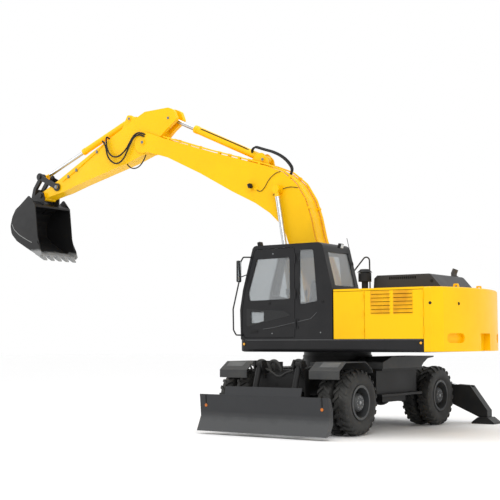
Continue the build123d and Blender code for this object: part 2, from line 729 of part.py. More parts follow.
CAB_SIDE = (
    (CAB_REAR_X, CAB_BOTTOM_Z),
    (CAB_FRONT_X, CAB_BOTTOM_Z),
    (1222, 2045),
    (1160, 2390),
    (943, CAB_TOP_Z),
    (-428, CAB_TOP_Z),
    (CAB_REAR_X, 2361),
)
DOOR_OUTLINE = (
    (110, 1565),
    (1120, 1565),
    (1165, 1650),
    (1168, 2040),
    (1110, 2370),
    (905, 3070),
    (110, 3070),
)


def grown_slab(outline, y_low, y_high, amount, radius=0):
    """A slab whose rounded outline is moved out by amount on every side."""
    if radius:
        wire = FilletPolyline(*outline, radius=radius, close=True)
    else:
        wire = Polyline(*outline, close=True)
    bigger = offset(make_face(wire), amount=amount, kind=Kind.INTERSECTION)
    plane = Plane((0, y_high, 0), x_dir=(1, 0, 0), z_dir=(0, -1, 0))
    return extrude(plane * bigger, amount=y_high - y_low)


# the cab's side windows, in x and z, and how much their corners are rounded
DOOR_UPPER_WINDOW = ((200, 2213), (1027, 2194), (1050, 2330), (867, 2904), (204, 2912))
DOOR_LOWER_WINDOW = ((724, 1845), (997, 1787), (1009, 2017), (702, 2001))
QUARTER_WINDOW = ((16, 2111), (9, 3031), (-261, 3025), (-331, 2163))
SIDE_WINDOW = ((-330, 2150), (1040, 2150), (850, 2960), (-255, 2960))
DOOR_WINDOW_ROUND = 28.0
QUARTER_WINDOW_ROUND = 35.0
SIDE_WINDOW_ROUND = 60.0
CAB_SIDE_ROUND = [30, 25, 200, 250, 90, 110, 40]
DOOR_ROUND = [30, 40, 60, 80, 120, 60, 30]


def cab_shell():
    """The cab's welded shell: floor, roof, pillars and walls, with the door's
    opening and its windows cut, and the fixed leaves of the door's hinges."""
    low, high = CAB_INNER_Y, CAB_OUTER_Y
    shell = slab(CAB_SIDE, low, high, CAB_SIDE_ROUND)
    shell -= grown_slab(CAB_SIDE, low + CAB_WALL, high - CAB_WALL, -CAB_WALL)
    shell -= grown_slab(DOOR_OUTLINE, high - CAB_WALL - 5, high + 5, PANEL_GAP, DOOR_ROUND)
    shell -= slab(QUARTER_WINDOW, high - CAB_WALL - 5, high + 5, QUARTER_WINDOW_ROUND)
    shell -= slab(SIDE_WINDOW, low - 5, low + CAB_WALL + 5, SIDE_WINDOW_ROUND)
    middle = (low + high) / 2
    windscreen = block((880, 1400), (low + 75, high - 75), (2080, 3030))
    lower_screen = block((1100, 1400), (low + 110, high - 110), (1640, 2010))
    rear = block((-800, -380), (low + 110, high - 130), (2420, 2990))
    skylight = block((150, 650), (middle - 260, middle + 260), (CAB_TOP_Z - 100, CAB_TOP_Z + 10))
    shell = shell - windscreen - lower_screen - rear - skylight
    hx, hy = DOOR_HINGE
    leaves = []
    for z in DOOR_HINGE_HEIGHTS:
        for low_z, high_z in ((z - 42, z - SEAT_GAP), (z + HINGE_LENGTH + SEAT_GAP, z + HINGE_LENGTH + 42)):
            leaves.append(shaft((hx, hy, low_z), (hx, hy, high_z), HINGE_RADIUS))
            leaves.append(block((hx - 50, hx), (high - 1, high + 9), (low_z, high_z)))
    return fused(shell, *leaves)


def cab_glass():
    """The cab's fixed panes, each seated in its opening."""
    low, high = CAB_INNER_Y, CAB_OUTER_Y
    inset = 20.0
    quarter = grown_slab(
        QUARTER_WINDOW, high - inset - GLASS_THICKNESS, high - inset, -SEAT_GAP, QUARTER_WINDOW_ROUND
    )
    side = grown_slab(
        SIDE_WINDOW, low + inset, low + inset + GLASS_THICKNESS, -SEAT_GAP, SIDE_WINDOW_ROUND
    )
    middle = (low + high) / 2
    outer = grown_slab(CAB_SIDE, low, high, -inset)
    skin = outer - grown_slab(CAB_SIDE, low - 1, high + 1, -inset - GLASS_THICKNESS)

    def pane(x, y, z):
        gap = SEAT_GAP
        return skin & block(x, (y[0] + gap, y[1] - gap), (z[0] + gap, z[1] - gap))

    windscreen = pane((880, 1400), (low + 75, high - 75), (2080, 3030))
    lower = pane((1100, 1400), (low + 110, high - 110), (1640, 2010))
    rear = pane((-800, -380), (low + 110, high - 130), (2420, 2990))
    skylight = block(
        (150 + SEAT_GAP, 650 - SEAT_GAP),
        (middle - 260 + SEAT_GAP, middle + 260 - SEAT_GAP),
        (CAB_TOP_Z - inset - GLASS_THICKNESS, CAB_TOP_Z - inset),
    )
    return Compound(children=[quarter, side, windscreen, lower, rear, skylight])


DOOR_HINGE = (86.0, CAB_OUTER_Y + 15.0)
DOOR_HINGE_HEIGHTS = (1750, 2250, 2850)
HINGE_LENGTH = 80.0
HINGE_RADIUS = 13.0


def cab_door():
    """The cab door as thick as the wall, with its two windows and the knuckles
    of its hinges."""
    high = CAB_OUTER_Y
    panel = slab(DOOR_OUTLINE, high - CAB_WALL + 10, high, DOOR_ROUND)
    panel -= slab(DOOR_UPPER_WINDOW, high - 100, high + 5, DOOR_WINDOW_ROUND)
    panel -= slab(DOOR_LOWER_WINDOW, high - 100, high + 5, DOOR_WINDOW_ROUND)
    pieces = [panel]
    hx, hy = DOOR_HINGE
    for z in DOOR_HINGE_HEIGHTS:
        pieces.append(shaft((hx, hy, z), (hx, hy, z + HINGE_LENGTH), HINGE_RADIUS))
        pieces.append(block((hx, 160), (high + 2, high + 12), (z, z + HINGE_LENGTH)))
        pieces.append(block((118, 160), (high - 2, high + 4), (z, z + HINGE_LENGTH)))
    return fused(*pieces)


def door_glass():
    """The door's two panes."""
    high = CAB_OUTER_Y
    return Compound(
        children=[
            grown_slab(
                window, high - 20 - GLASS_THICKNESS, high - 20, -SEAT_GAP, DOOR_WINDOW_ROUND
            )
            for window in (DOOR_UPPER_WINDOW, DOOR_LOWER_WINDOW)
        ]
    )


def cab_seat():
    """The driver's seat on its box, with an armrest console on each side and
    the steering column in front."""
    middle = (CAB_INNER_Y + CAB_OUTER_Y) / 2
    floor = CAB_BOTTOM_Z + CAB_WALL
    base = block((-60, 330), (middle - 190, middle + 190), (floor, floor + 300))
    cushion = block((-110, 400), (middle - 240, middle + 240), (floor + 300, floor + 430))
    back = slab(
        ((-60, floor + 400), (60, floor + 400), (-90, floor + 1130), (-190, floor + 1130)),
        middle - 230,
        middle + 230,
        30,
    )
    pieces = [base, cushion, back]
    for side in (-1, 1):
        y = middle + side * 300
        pieces.append(block((-80, 450), (y - 70, y + 70), (floor, floor + 520)))
        pieces.append(shaft((380, y, floor + 500), (400, y, floor + 700), 22))
    column = shaft((798, middle, floor + 12), (687, middle, floor + 656), 40)
    foot = block((700, 890), (middle - 90, middle + 90), (floor, floor + 22))
    wheel = Pos(686, middle, floor + 660) * Rot(0, -12, 0) * Torus(190, 16)
    spokes = Pos(688, middle, floor + 650) * Rot(0, -12, 0) * Box(40, 370, 16)
    return Compound(children=[fused(*pieces), fused(foot, column, spokes, wheel)])


# ---------------------------------------------------------------- engine bay
DOOR_SKIN = 30.0
BAY_BOTTOM_Z = SKIRT_TOP_Z + PANEL_GAP
BAY_TOP_Z = BODY_TOP_Z - 34.0  # underside of the deck over the engine bay
REAR_HINGE_X = COUNTERWEIGHT_FRONT_X + PANEL_GAP / 2


HINGE_PIN_OUT = 10.0  # from the doors' faces out to their hinge pins
KNUCKLE_RADIUS = 8.0
KNUCKLE_LENGTH = 60.0
DOOR_HINGE_ROWS = (1640, 1900, 2180)  # height of each knuckle's lower end
FRONT_PIN_X = DOOR_SEAM_X + 14.0  # clear of the long door's free edge


def door_knuckles(x):
    """The knuckles on a left door whose hinge pins stand at x, with a leaf each."""
    high = UPPER_HALF_WIDTH
    pieces = []
    for z in DOOR_HINGE_ROWS:
        y = high + HINGE_PIN_OUT
        pieces.append(shaft((x, y, z), (x, y, z + KNUCKLE_LENGTH), KNUCKLE_RADIUS))
        pieces.append(block((x, x + 45), (high - 2, high + 6), (z, z + KNUCKLE_LENGTH)))
    return pieces


def post_knuckles(x, gap_x):
    """The knuckles that stand above and below a left door's own, with the thin
    strap that holds each through the gap at gap_x beside the door."""
    high = UPPER_HALF_WIDTH
    pieces = []
    for z in DOOR_HINGE_ROWS:
        for low in (z - 30, z + KNUCKLE_LENGTH + SEAT_GAP):
            top = low + 30 - SEAT_GAP
            y = high + HINGE_PIN_OUT
            pieces.append(shaft((x, y, low), (x, y, top), KNUCKLE_RADIUS))
            pieces.append(block((gap_x - 2, gap_x + 2), (high - DOOR_SKIN - 8, high + 5), (low, top)))
            pieces.append(block((gap_x - 2, x + 1), (high + 2, high + 5), (low, top)))
    return pieces


def bay_door(front, back):
    """A side door of the bay between two x positions, on the left side."""
    high = UPPER_HALF_WIDTH
    return block((back, front), (high - DOOR_SKIN, high), (BAY_BOTTOM_Z, BAY_TOP_Z - PANEL_GAP))


LOUVRE_GROUPS = ((-1666.0, -1333.0), (-2054.0, -1724.0))
LOUVRE_ROWS = (1941.0, 2001.0, 2061.0, 2121.0, 2181.0, 2241.0)  # each slot's bottom
LOUVRE_SLOT = 16.0
LOUVRE_HEIGHT = 34.0
LOUVRE_PROUD = 12.0


def left_doors():
    """The two side doors of the left: the plain one behind the cab and the long
    one with two groups of louvres, each a slot under a pressed hood."""
    high = UPPER_HALF_WIDTH
    half_gap = PANEL_GAP / 2
    front = bay_door(BODY_FRONT_X, DOOR_SEAM_X + half_gap)
    rear = bay_door(DOOR_SEAM_X - half_gap, COUNTERWEIGHT_FRONT_X + PANEL_GAP)
    hoods = []
    for start, end in LOUVRE_GROUPS:
        for z in LOUVRE_ROWS:
            rear -= block((start, end), (high - 60, high + 5), (z, z + LOUVRE_SLOT))
            lip = z + LOUVRE_SLOT / 2
            outline = (
                (high - 5, z + LOUVRE_SLOT), (high + LOUVRE_PROUD - 4, lip), (high + LOUVRE_PROUD, lip),
                (high + LOUVRE_PROUD, lip + 6), (high - 5, z + LOUVRE_SLOT + LOUVRE_HEIGHT),
            )
            hoods.append(cross_slab(outline, start - 6, end + 6))
    rear = fused(rear, *hoods)
    return fused(front, *door_knuckles(FRONT_PIN_X)), fused(rear, *door_knuckles(REAR_HINGE_X))


def engine_deck():
    """The fixed top of the bay with its hatch, on the bulkheads and posts that
    carry it."""
    high = UPPER_HALF_WIDTH
    back, front = COUNTERWEIGHT_FRONT_X + SEAT_GAP, BODY_FRONT_X
    deck = block((back, front), (-high, high), (BAY_TOP_Z, BODY_TOP_Z))
    deck -= block(HATCH_X, HATCH_Y, (BAY_TOP_Z - 10, BODY_TOP_Z + 10))
    plate = 24.0
    rear = COUNTERWEIGHT_FRONT_X + SKIRT_WALL + SEAT_GAP
    inside = high - DOOR_SKIN - SEAT_GAP
    pieces = [
        deck,
        block((rear, rear + plate), (-inside, inside), (DECK_TOP_Z, BAY_TOP_Z + 5)),
        block((front - 50, front - 50 + plate), (TANK_INNER_Y + 12, inside), (DECK_TOP_Z, BAY_TOP_Z + 5)),
    ]
    for low, high_y in ((-inside, -inside + 60), (inside - 60, inside - 2)):
        post = block((DOOR_SEAM_X - 50, DOOR_SEAM_X + 30), (low, high_y), (DECK_TOP_Z, BAY_TOP_Z + 5))
        pieces.append(post)
    pieces += post_knuckles(FRONT_PIN_X, DOOR_SEAM_X)
    ends = post_knuckles(REAR_HINGE_X, REAR_HINGE_X)
    for z in DOOR_HINGE_ROWS:
        ends.append(
            block((REAR_HINGE_X - 2, rear + 6), (inside - 7, inside), (z - 30, z + KNUCKLE_LENGTH + 30))
        )
    pieces += ends + [mirrored(piece) for piece in ends]
    for x in HOOD_HINGE_ROWS:
        for low in (x - 40, x + KNUCKLE_LENGTH + SEAT_GAP):
            far = low + 40 - SEAT_GAP
            ends = [(along, HOOD_HINGE_Y, HOOD_HINGE_Z) for along in (low, far)]
            pieces.append(shaft(*ends, KNUCKLE_RADIUS))
            leaf_y = (HOOD_HINGE_Y - 9, HOOD_HINGE_Y + 4)
            pieces.append(block((low, far), leaf_y, (BODY_TOP_Z - 2, HOOD_HINGE_Z)))
    return fused(*pieces)


HATCH_X = (-2110.0, -1150.0)
HATCH_Y = (-550.0, 630.0)
HOOD_HINGE_Y = -632.0
HOOD_HINGE_Z = BODY_TOP_Z + 12.0
LID_TOP_Z = 2580.0
LID_SKIN = 22.0
LID_VENTS = (-1864.0, -1367.0)  # along the left side
HOOD_HINGE_ROWS = (-2060.0, -1640.0, -1220.0)  # where each knuckle on the lid starts


def hood():
    """The raised dark lid over the hatch, hollow underneath, with the vents in
    its left side."""
    base = BODY_TOP_Z + SEAT_GAP
    outline = (
        (-2318, base), (-2125, LID_TOP_Z - 14), (-2095, LID_TOP_Z), (-1165, LID_TOP_Z), (-1110, 2530),
        (-1095, base),
    )
    under = LID_TOP_Z - LID_SKIN
    inside = (
        (-2295, base - 5), (-2110, under - 12), (-2090, under), (-1172, under), (-1133, 2525),
        (-1118, base - 5),
    )
    low, high = HOOD_HINGE_Y + 12, 700.0
    lid = slab(outline, low, high) - slab(inside, low + LID_SKIN, high - LID_SKIN)
    slot, pitch = 22.0, 38.0
    for number in range(round((LID_VENTS[1] - LID_VENTS[0]) / pitch)):
        x = LID_VENTS[0] + number * pitch
        lid -= slab(((x, 2505), (x + slot, 2505), (x + slot, 2550), (x, 2550)), high - 40, high + 5, 8)
    pieces = [lid]
    for x in HOOD_HINGE_ROWS:
        start = (x, HOOD_HINGE_Y, HOOD_HINGE_Z)
        pieces.append(shaft(start, (x + KNUCKLE_LENGTH, HOOD_HINGE_Y, HOOD_HINGE_Z), KNUCKLE_RADIUS))
        pieces.append(
            block((x, x + KNUCKLE_LENGTH), (HOOD_HINGE_Y, low + 4), (HOOD_HINGE_Z - 3, HOOD_HINGE_Z + 5))
        )
    return fused(*pieces)


def right_side():
    """The right-hand side: the long door of the pump bay, and the fuel and
    hydraulic tanks with the tool box in front of them."""
    high = UPPER_HALF_WIDTH
    panel = bay_door(DOOR_SEAM_X - PANEL_GAP / 2, COUNTERWEIGHT_FRONT_X + PANEL_GAP)
    door = mirrored(fused(panel, *door_knuckles(REAR_HINGE_X)))
    bottom = SKIRT_TOP_Z
    middle = BODY_FRONT_X + PANEL_GAP
    rear_tank = block(
        (DOOR_SEAM_X + 80, middle + 5), (-high, TANK_INNER_Y), (bottom, BAY_TOP_Z - SEAT_GAP)
    )
    cover = block((DOOR_SEAM_X + PANEL_GAP / 2, DOOR_SEAM_X + 90), (-high, -high + DOOR_SKIN),
                  (bottom, BAY_TOP_Z - SEAT_GAP))
    front_tank = block((middle, 60), (-high, TANK_INNER_Y), (bottom, BODY_TOP_Z))
    box = slab(
        ((66, bottom), (1190, bottom), (1190, 1890), (1130, 1960), (66, 1960)),
        -high, TANK_INNER_Y, [2, 30, 40, 40, 2],
    )
    return door, Compound(children=[fused(rear_tank, cover, front_tank), box])


def engine():
    """The engine as one plain block on the frame."""
    return block((-2150, -1250), (-450, 500), (DECK_TOP_Z, 2150))


def exhaust_pipe():
    """The exhaust stub on the lid, with its foot plate."""
    x, y = -2010.0, -480.0
    base = LID_TOP_Z + SEAT_GAP
    pipe = shaft((x, y, base), (x, y, 2660), 50) + shaft((x, y, base), (x, y, base + 14), 74)
    pipe += shaft((x, y, 2640), (x - 30, y, 2710), 50)
    return pipe - shaft((x - 12, y, 2668), (x - 36, y, 2724), 43)


def pre_cleaner():
    """The mushroom-shaped air pre-cleaner on its stack."""
    x, y = -1000.0, 820.0
    stack = shaft((x, y, BODY_TOP_Z + SEAT_GAP), (x, y, 2480), 54)
    bowl = Pos(x, y, 2478) * Cylinder(108, 142, align=(Align.CENTER, Align.CENTER, Align.MIN))
    cap = Pos(x, y, 2632) * Cone(124, 74, 52, align=(Align.CENTER, Align.CENTER, Align.MIN))
    return fused(stack, bowl, cap, shaft((x, y, 2580), (x, y, 2650), 66))


# ---------------------------------------------------------------- digging gear
BOOM_TIP = placed((BOOM_LENGTH, 0), BOOM_FOOT, BOOM_ANGLE)
ARM_TIP = placed((ARM_LENGTH, 0), BOOM_TIP, ARM_ANGLE)
FORK_GAP = ARM_WIDTH + 2 * MOVING_GAP
BOOM_TIP_RADIUS = 215.0
BOOM_OUTLINE = (  # x, z and the corner's radius, round from the foot's top
    (-70, 115, 20),
    (1190, 880, 150),
    (1507, 1125, 250),
    (1790, 1300, 300),
    (2140, 1415, 300),
    (2505, 1412, 300),
    (2850, 1305, 300),
    (4340, 695, 400),
    (BOOM_LENGTH - 365, 345, 300),
    (BOOM_LENGTH + 65, 205, 60),
    (BOOM_LENGTH - 75, -205, 60),
    (BOOM_LENGTH - 237, -80, 100),
    (BOOM_LENGTH - 723, 118, 300),
    (4043, 330, 300),
    (3203, 490, 300),
    (2623, 625, 250),
    (2244, 668, 200),
    (1848, 640, 200),
    (1577, 480, 150),
    (110, -110, 20),
)


def boom():
    """The banana-shaped box boom: foot tube, fork at its tip, ears for the arm
    cylinder on its back and bosses for its own two cylinders."""
    half = BOOM_WIDTH / 2
    outline = [(x, z) for x, z, _ in BOOM_OUTLINE]
    radii = [radius for _, _, radius in BOOM_OUTLINE]
    body = slab(outline, -half, half, radii)
    foot = cross_pin((0, 0), -half, half, 140)
    nose = cross_pin((BOOM_LENGTH, 0), -half, half, BOOM_TIP_RADIUS)
    body = fused(body, foot, nose)
    body -= block((BOOM_LENGTH - 590, BOOM_LENGTH + 400), (-FORK_GAP / 2, FORK_GAP / 2), (-400, 700))
    body -= cross_pin((0, 0), -half - 5, half + 5, 55 + RUNNING_GAP)
    pieces = [body, cross_pin((BOOM_LENGTH, 0), -half - 22, half + 22, 50)]
    pieces.append(cross_pin(BOOM_CYLINDER_PIN, -half - 36, half + 36, 95))
    ear_low = ARM_CYLINDER_TUBE + MOVING_GAP
    for y in (-ear_low - 30, ear_low):
        ear = slab(
            ((2780, 1240), (2990, 1400), (3160, 1420), (3240, 1330), (3290, 1050), (2800, 1050)),
            y, y + 30, [40, 60, 60, 60, 10, 10],
        )
        pieces.append(ear)
    pieces.append(cross_pin(ARM_CYLINDER_FOOT, -ear_low - 45, ear_low + 45, 42))
    return fused(*pieces)


PIPE_RADIUS = 13.0
PIPE_BEND = 250.0
PIPE_CLAMP_HALF = 24.0
PIPE_RISE = 30.5  # of the pipes' middles above the boom's back
PIPE_OUTER_Y = BOOM_WIDTH / 2 - 18
PIPE_INNER_Y = PIPE_OUTER_Y - 31
PIPE_START = 560.0  # along the back from its first corner
PIPE_INNER_END = 4300.0
PIPE_CLAMPS = ((0, 0.3), (0, 0.8), (2, 0.5), (4, 0.5), (6, 0.12), (6, 0.42), (6, 0.72), (7, 0.3), (7, 0.85))


def pipe_route():
    """The pipes' corners in x and z, one height above the boom's back all the way."""
    back = [(x, z) for x, z, _ in BOOM_OUTLINE[:10]]
    slope = math.degrees(math.atan2(back[1][1] - back[0][1], back[1][0] - back[0][0]))
    route = [placed((PIPE_START, PIPE_RISE), back[0], slope)]
    for before, here, after in zip(back[:-2], back[1:-1], back[2:]):
        rises = []
        for low, high in ((before, here), (here, after)):
            length = math.dist(low, high)
            rises.append(Vector((low[1] - high[1]) / length, (high[0] - low[0]) / length))
        mean = (rises[0] + rises[1]).normalized()
        shift = mean * (PIPE_RISE / mean.dot(rises[0]))
        route.append((here[0] + shift.X, here[1] + shift.Y))
    return route


def boom_pipes():
    """The steel oil pipes along the boom's back, two on each side in clamps:
    the outer one runs out to the tip and the inner one stops short of it."""
    outer = pipe_route()
    start, end = outer[6], outer[7]
    share = (PIPE_INNER_END - start[0]) / (end[0] - start[0])
    inner = outer[:7] + [(PIPE_INNER_END, start[1] + share * (end[1] - start[1]))]
    pieces = []
    for y, route in ((PIPE_OUTER_Y, outer), (PIPE_INNER_Y, inner)):
        path = FilletPolyline(*((x, y, z) for x, z in route), radius=PIPE_BEND)
        pieces.append(sweep(Plane(path @ 0, z_dir=path % 0) * Circle(PIPE_RADIUS), path))
    for number, share in PIPE_CLAMPS:
        start, end = Vector(*outer[number]), Vector(*outer[number + 1])
        along = (end - start).normalized() * PIPE_CLAMP_HALF
        rise = Vector(-along.Y, along.X).normalized()
        middle = start + (end - start) * share
        below = middle + rise * (SEAT_GAP - PIPE_RISE)
        above = middle + rise * (PIPE_RADIUS + 6)
        corners = [(p.X, p.Y) for p in (below - along, below + along, above + along, above - along)]
        inside = PIPE_INNER_Y if middle.X < PIPE_INNER_END else PIPE_OUTER_Y
        pieces.append(slab(corners, inside - 15, PIPE_OUTER_Y + 15))
    left = fused(*pieces)
    return Compound(children=[left, mirrored(left)])


ARM_OUTLINE = (  # x, z and the corner's radius, round from the tail's bottom
    (-900, 120, 60),
    (-880, 330, 90),
    (-774, 430, 80),
    (-193, 595, 120),
    (116, 557, 100),
    (690, 464, 150),
    (1203, 385, 300),
    (2468, 155, 200),
    (ARM_LENGTH - 32, 95, 20),
    (ARM_LENGTH - 32, -72, 20),
    (2600, -96, 150),
    (2400, -124, 200),
    (1863, -142, 300),
    (1084, -190, 300),
    (480, -228, 150),
    (60, -225, 120),
    (-330, -90, 120),
    (-600, 30, 100),
)


NOSE_COLLAR_RADIUS = 68.0  # passes inside the rocker at full curl


def arm():
    """The tapered box arm: tail ears for its cylinder, the boom's boss, ears for
    the bucket cylinder on its back, and the nose that the bucket hangs on."""
    half = ARM_WIDTH / 2
    outline = [(x, z) for x, z, _ in ARM_OUTLINE]
    radii = [radius for _, _, radius in ARM_OUTLINE]
    body = slab(outline, -half, half, radii)
    hub = BUCKET_EAR_INSIDE / 2 - MOVING_GAP
    nose = cross_pin((ARM_LENGTH, 0), -half, half, 95)
    collar = cross_pin((ARM_LENGTH, 0), -hub, hub, NOSE_COLLAR_RADIUS)
    body = fused(body, nose, collar)
    body -= block((-1100, -490), (-72, 72), (-50, 700))
    body -= cross_pin((0, 0), -half - 5, half + 5, 50 + RUNNING_GAP)
    body -= cross_pin((ARM_LENGTH, 0), -hub - 5, hub + 5, 45 + RUNNING_GAP)
    pieces = [body]
    for y in (-98, 68):
        ear = slab(
            ((120, 500), (190, 700), (290, 745), (350, 690), (560, 480), (500, 380), (140, 420)),
            y, y + 30, [20, 40, 40, 40, 20, 20, 20],
        )
        pieces.append(ear)
    pieces.append(cross_pin(BUCKET_CYLINDER_FOOT, -110, 110, 38))
    pieces.append(cross_pin(ROCKER_PIN, -half - 45, half + 45, 38))
    return fused(*pieces)


def rocker():
    """The two plates that swing on the arm, each with a cap at its front end,
    in the arm's frame."""
    inner = ARM_WIDTH / 2 + MOVING_GAP
    thick = 28.0
    dx, dz = ROCKER_END[0] - ROCKER_PIN[0], ROCKER_END[1] - ROCKER_PIN[1]
    span = math.hypot(dx, dz)
    nx, nz = -dz / span * 55, dx / span * 55
    outline = (
        (ROCKER_PIN[0] + nx, ROCKER_PIN[1] + nz),
        (ROCKER_END[0] + nx, ROCKER_END[1] + nz),
        (ROCKER_END[0] - nx, ROCKER_END[1] - nz),
        (ROCKER_PIN[0] - nx, ROCKER_PIN[1] - nz),
    )
    plates = []
    for side in (-1, 1):
        low = min(side * inner, side * (inner + thick))
        ends = [cross_pin(p, low, low + thick, 82) for p in (ROCKER_PIN, ROCKER_END)]
        near, far = side * (inner + 4), side * (inner + thick + 24)
        cap = cross_pin(ROCKER_END, min(near, far), max(near, far), 48)
        plate = fused(slab(outline, low, low + thick), *ends, cap)
        plates.append(plate - cross_pin(ROCKER_PIN, low - 5, low + thick + 5, 38 + RUNNING_GAP))
    return Compound(children=plates)


def link():
    """The bowed H-shaped link from the rocker's end to the bucket, in the arm's
    frame. Its upper bosses are closed and its lower one turns on the bucket's
    pin."""
    end = link_foot_on_arm()
    dx, dz = end[0] - ROCKER_END[0], end[1] - ROCKER_END[1]
    span = math.hypot(dx, dz)
    nx, nz = -dz / span, dx / span

    def at(share, out):
        return (
            ROCKER_END[0] + dx * share + nx * out,
            ROCKER_END[1] + dz * share + nz * out,
        )

    pieces = []
    rod_eye = 58.0
    outer = ARM_WIDTH / 2
    for side in (-1, 1):
        low, high = sorted((side * 84, side * 148))
        bar = slab(
            (at(0, 45), at(0.5, 105), at(1, 45), at(1, -45), at(0.5, 25), at(0, -45)),
            low, high, [5, 150, 5, 5, 150, 5],
        )
        pieces.append(bar)
        near, far = sorted((side * (rod_eye + 5), side * outer))
        pieces.append(cross_pin(ROCKER_END, near, far, 72))
    hub = BUCKET_EAR_INSIDE / 2 - MOVING_GAP
    pieces.append(cross_pin(end, -hub, hub, 56))
    web = slab((at(0.5, 95), at(0.88, 65), at(0.88, 25), at(0.5, 55)), -120, 120)
    whole = fused(*pieces, web)
    return whole - cross_pin(end, -hub - 10, hub + 10, 36 + RUNNING_GAP)


def link_foot_on_arm():
    """The bucket's link pin at rest, in the arm's frame."""
    return placed(BUCKET_LINK_PIN, (ARM_LENGTH, 0), -ARM_ANGLE)


BUCKET_SIDE = (  # x, z and the corner's radius, from the opening's upper lip
    (-125, -227, 15),
    (60, -12, 40),
    (120, -60, 40),
    (330, -215, 60),
    (450, -290, 60),
    (545, -440, 150),
    (600, -640, 150),
    (560, -810, 150),
    (400, -970, 150),
    (130, -1120, 150),
    (-130, -1255, 30),
    (-300, -1320, 5),
    (-290, -1160, 60),
    (-205, -900, 100),
    (-165, -560, 100),
)


def bucket():
    """The bucket: side plates, the rolled wrapper, top beam, lip with five teeth
    on their adapters, side cutters and the two ears."""
    half = BUCKET_WIDTH / 2 - 45
    skin = 20.0
    outline = [(x, z) for x, z, _ in BUCKET_SIDE]
    radii = [radius for _, _, radius in BUCKET_SIDE]
    solid = slab(outline, -half, half, radii)
    hollow_outline = (
        (-400, -262), (-95, -262), (50, -160), (330, -262), (430, -320), (520, -460), (572, -640),
        (535, -795), (385, -945), (120, -1095), (-140, -1228), (-310, -1296), (-500, -1310),
    )
    hollow = slab(
        hollow_outline, -half + skin, half - skin, [5, 5, 30, 60, 60, 130, 130, 130, 130, 130, 30, 5, 5]
    )
    above = slab(((-160, -245), (-118, -222), (95, -108), (200, -118), (330, -185), (300, 100), (-160, 100)),
                 -half + skin, half - skin)
    body = solid - hollow - above
    pieces = [body]
    ear_low = BUCKET_EAR_INSIDE / 2
    ear_outline = (
        (-95, -30), (-60, 75), (40, 95), (200, 0), (380, -60), (430, -140), (420, -330), (300, -260),
        (80, -160), (-90, -190),
    )
    for low in (ear_low, -ear_low - 34):
        pieces.append(slab(ear_outline, low, low + 34, [40, 50, 60, 60, 60, 50, 10, 30, 30, 10]))
    pieces.append(cross_pin(BUCKET_LINK_PIN, -ear_low - 52, ear_low + 52, 36))
    pieces.append(cross_pin((0, 0), -ear_low - 60, ear_low + 60, 45))
    for y in (-430, -215, 0, 215, 430):
        tooth = slab(
            ((-255, -1262), (-300, -1290), (-385, -1402), (-360, -1412), (-235, -1345), (-190, -1300)),
            y - 42,
            y + 42,
            6,
        )
        pieces.append(tooth)
    for low in (half - 2, -half - 23):
        pieces.append(
            slab(
                ((-215, -1000), (-300, -1150), (-350, -1290), (-300, -1340), (-180, -1280), (-150, -1100)),
                low, low + 25, 10,
            )
        )
    return fused(*pieces)


def handrails():
    """The long grab tube with the mirror at the cab's front corner, and the
    bent rail on the tanks of the right-hand side."""
    wall = CAB_OUTER_Y + SEAT_GAP
    y = CAB_OUTER_Y + 60
    tube = 13.0
    points = [
        (975, wall + 4, 2944),
        (975, y, 2944),
        (1110, y, 2950),
        (1178, y, 2850),
        (1202, y, 2518),
        (1325, y, 2060),
        (1318, y, 1700),
        (1262, y, 1612),
        (1180, y, 1610),
        (1180, wall + 4, 1610),
    ]
    path = FilletPolyline(*points, radius=35)
    rail = sweep(Plane(path @ 0, z_dir=path % 0) * Circle(tube), path)
    feet = [shaft((x, wall, z), (x, wall + 8, z), 17) for x, z in ((975, 2944), (1180, 1610))]
    mirror_x, mirror_y, mirror_z = 1143, y + 85, 2702
    stays = [
        shaft((1196, y, 2600), (1063, wall + 9, 2650), 9),
        shaft((1063, wall, 2650), (1063, wall + 8, 2650), 17),
        shaft((1186, y, 2760), (mirror_x, mirror_y - 45, 2760), 9),
        shaft((1196, y, 2610), (mirror_x, mirror_y - 45, 2610), 9),
    ]
    head = Pos(mirror_x, mirror_y, mirror_z) * Box(28, 110, 372)
    head = fillet(head.edges().filter_by(Axis.X), 24)
    left = fused(rail, *feet, *stays, head)

    y, tube = 90 - UPPER_HALF_WIDTH, 14.0
    back_foot, front_foot = (-50, y, BODY_TOP_Z + SEAT_GAP), (1060, y, 1960 + SEAT_GAP)
    bend = FilletPolyline(back_foot, (-40, y, 3163), front_foot, radius=70)
    right = sweep(Plane(bend @ 0, z_dir=bend % 0) * Circle(tube), bend)
    pads = [shaft(foot, (foot[0], y, foot[2] + 10), 30) for foot in (back_foot, front_foot)]
    right -= block((900, 1200), (y - 40, y + 40), (1900, 1960 + SEAT_GAP))
    right = fused(right, *pads)
    return Compound(children=[left, right])


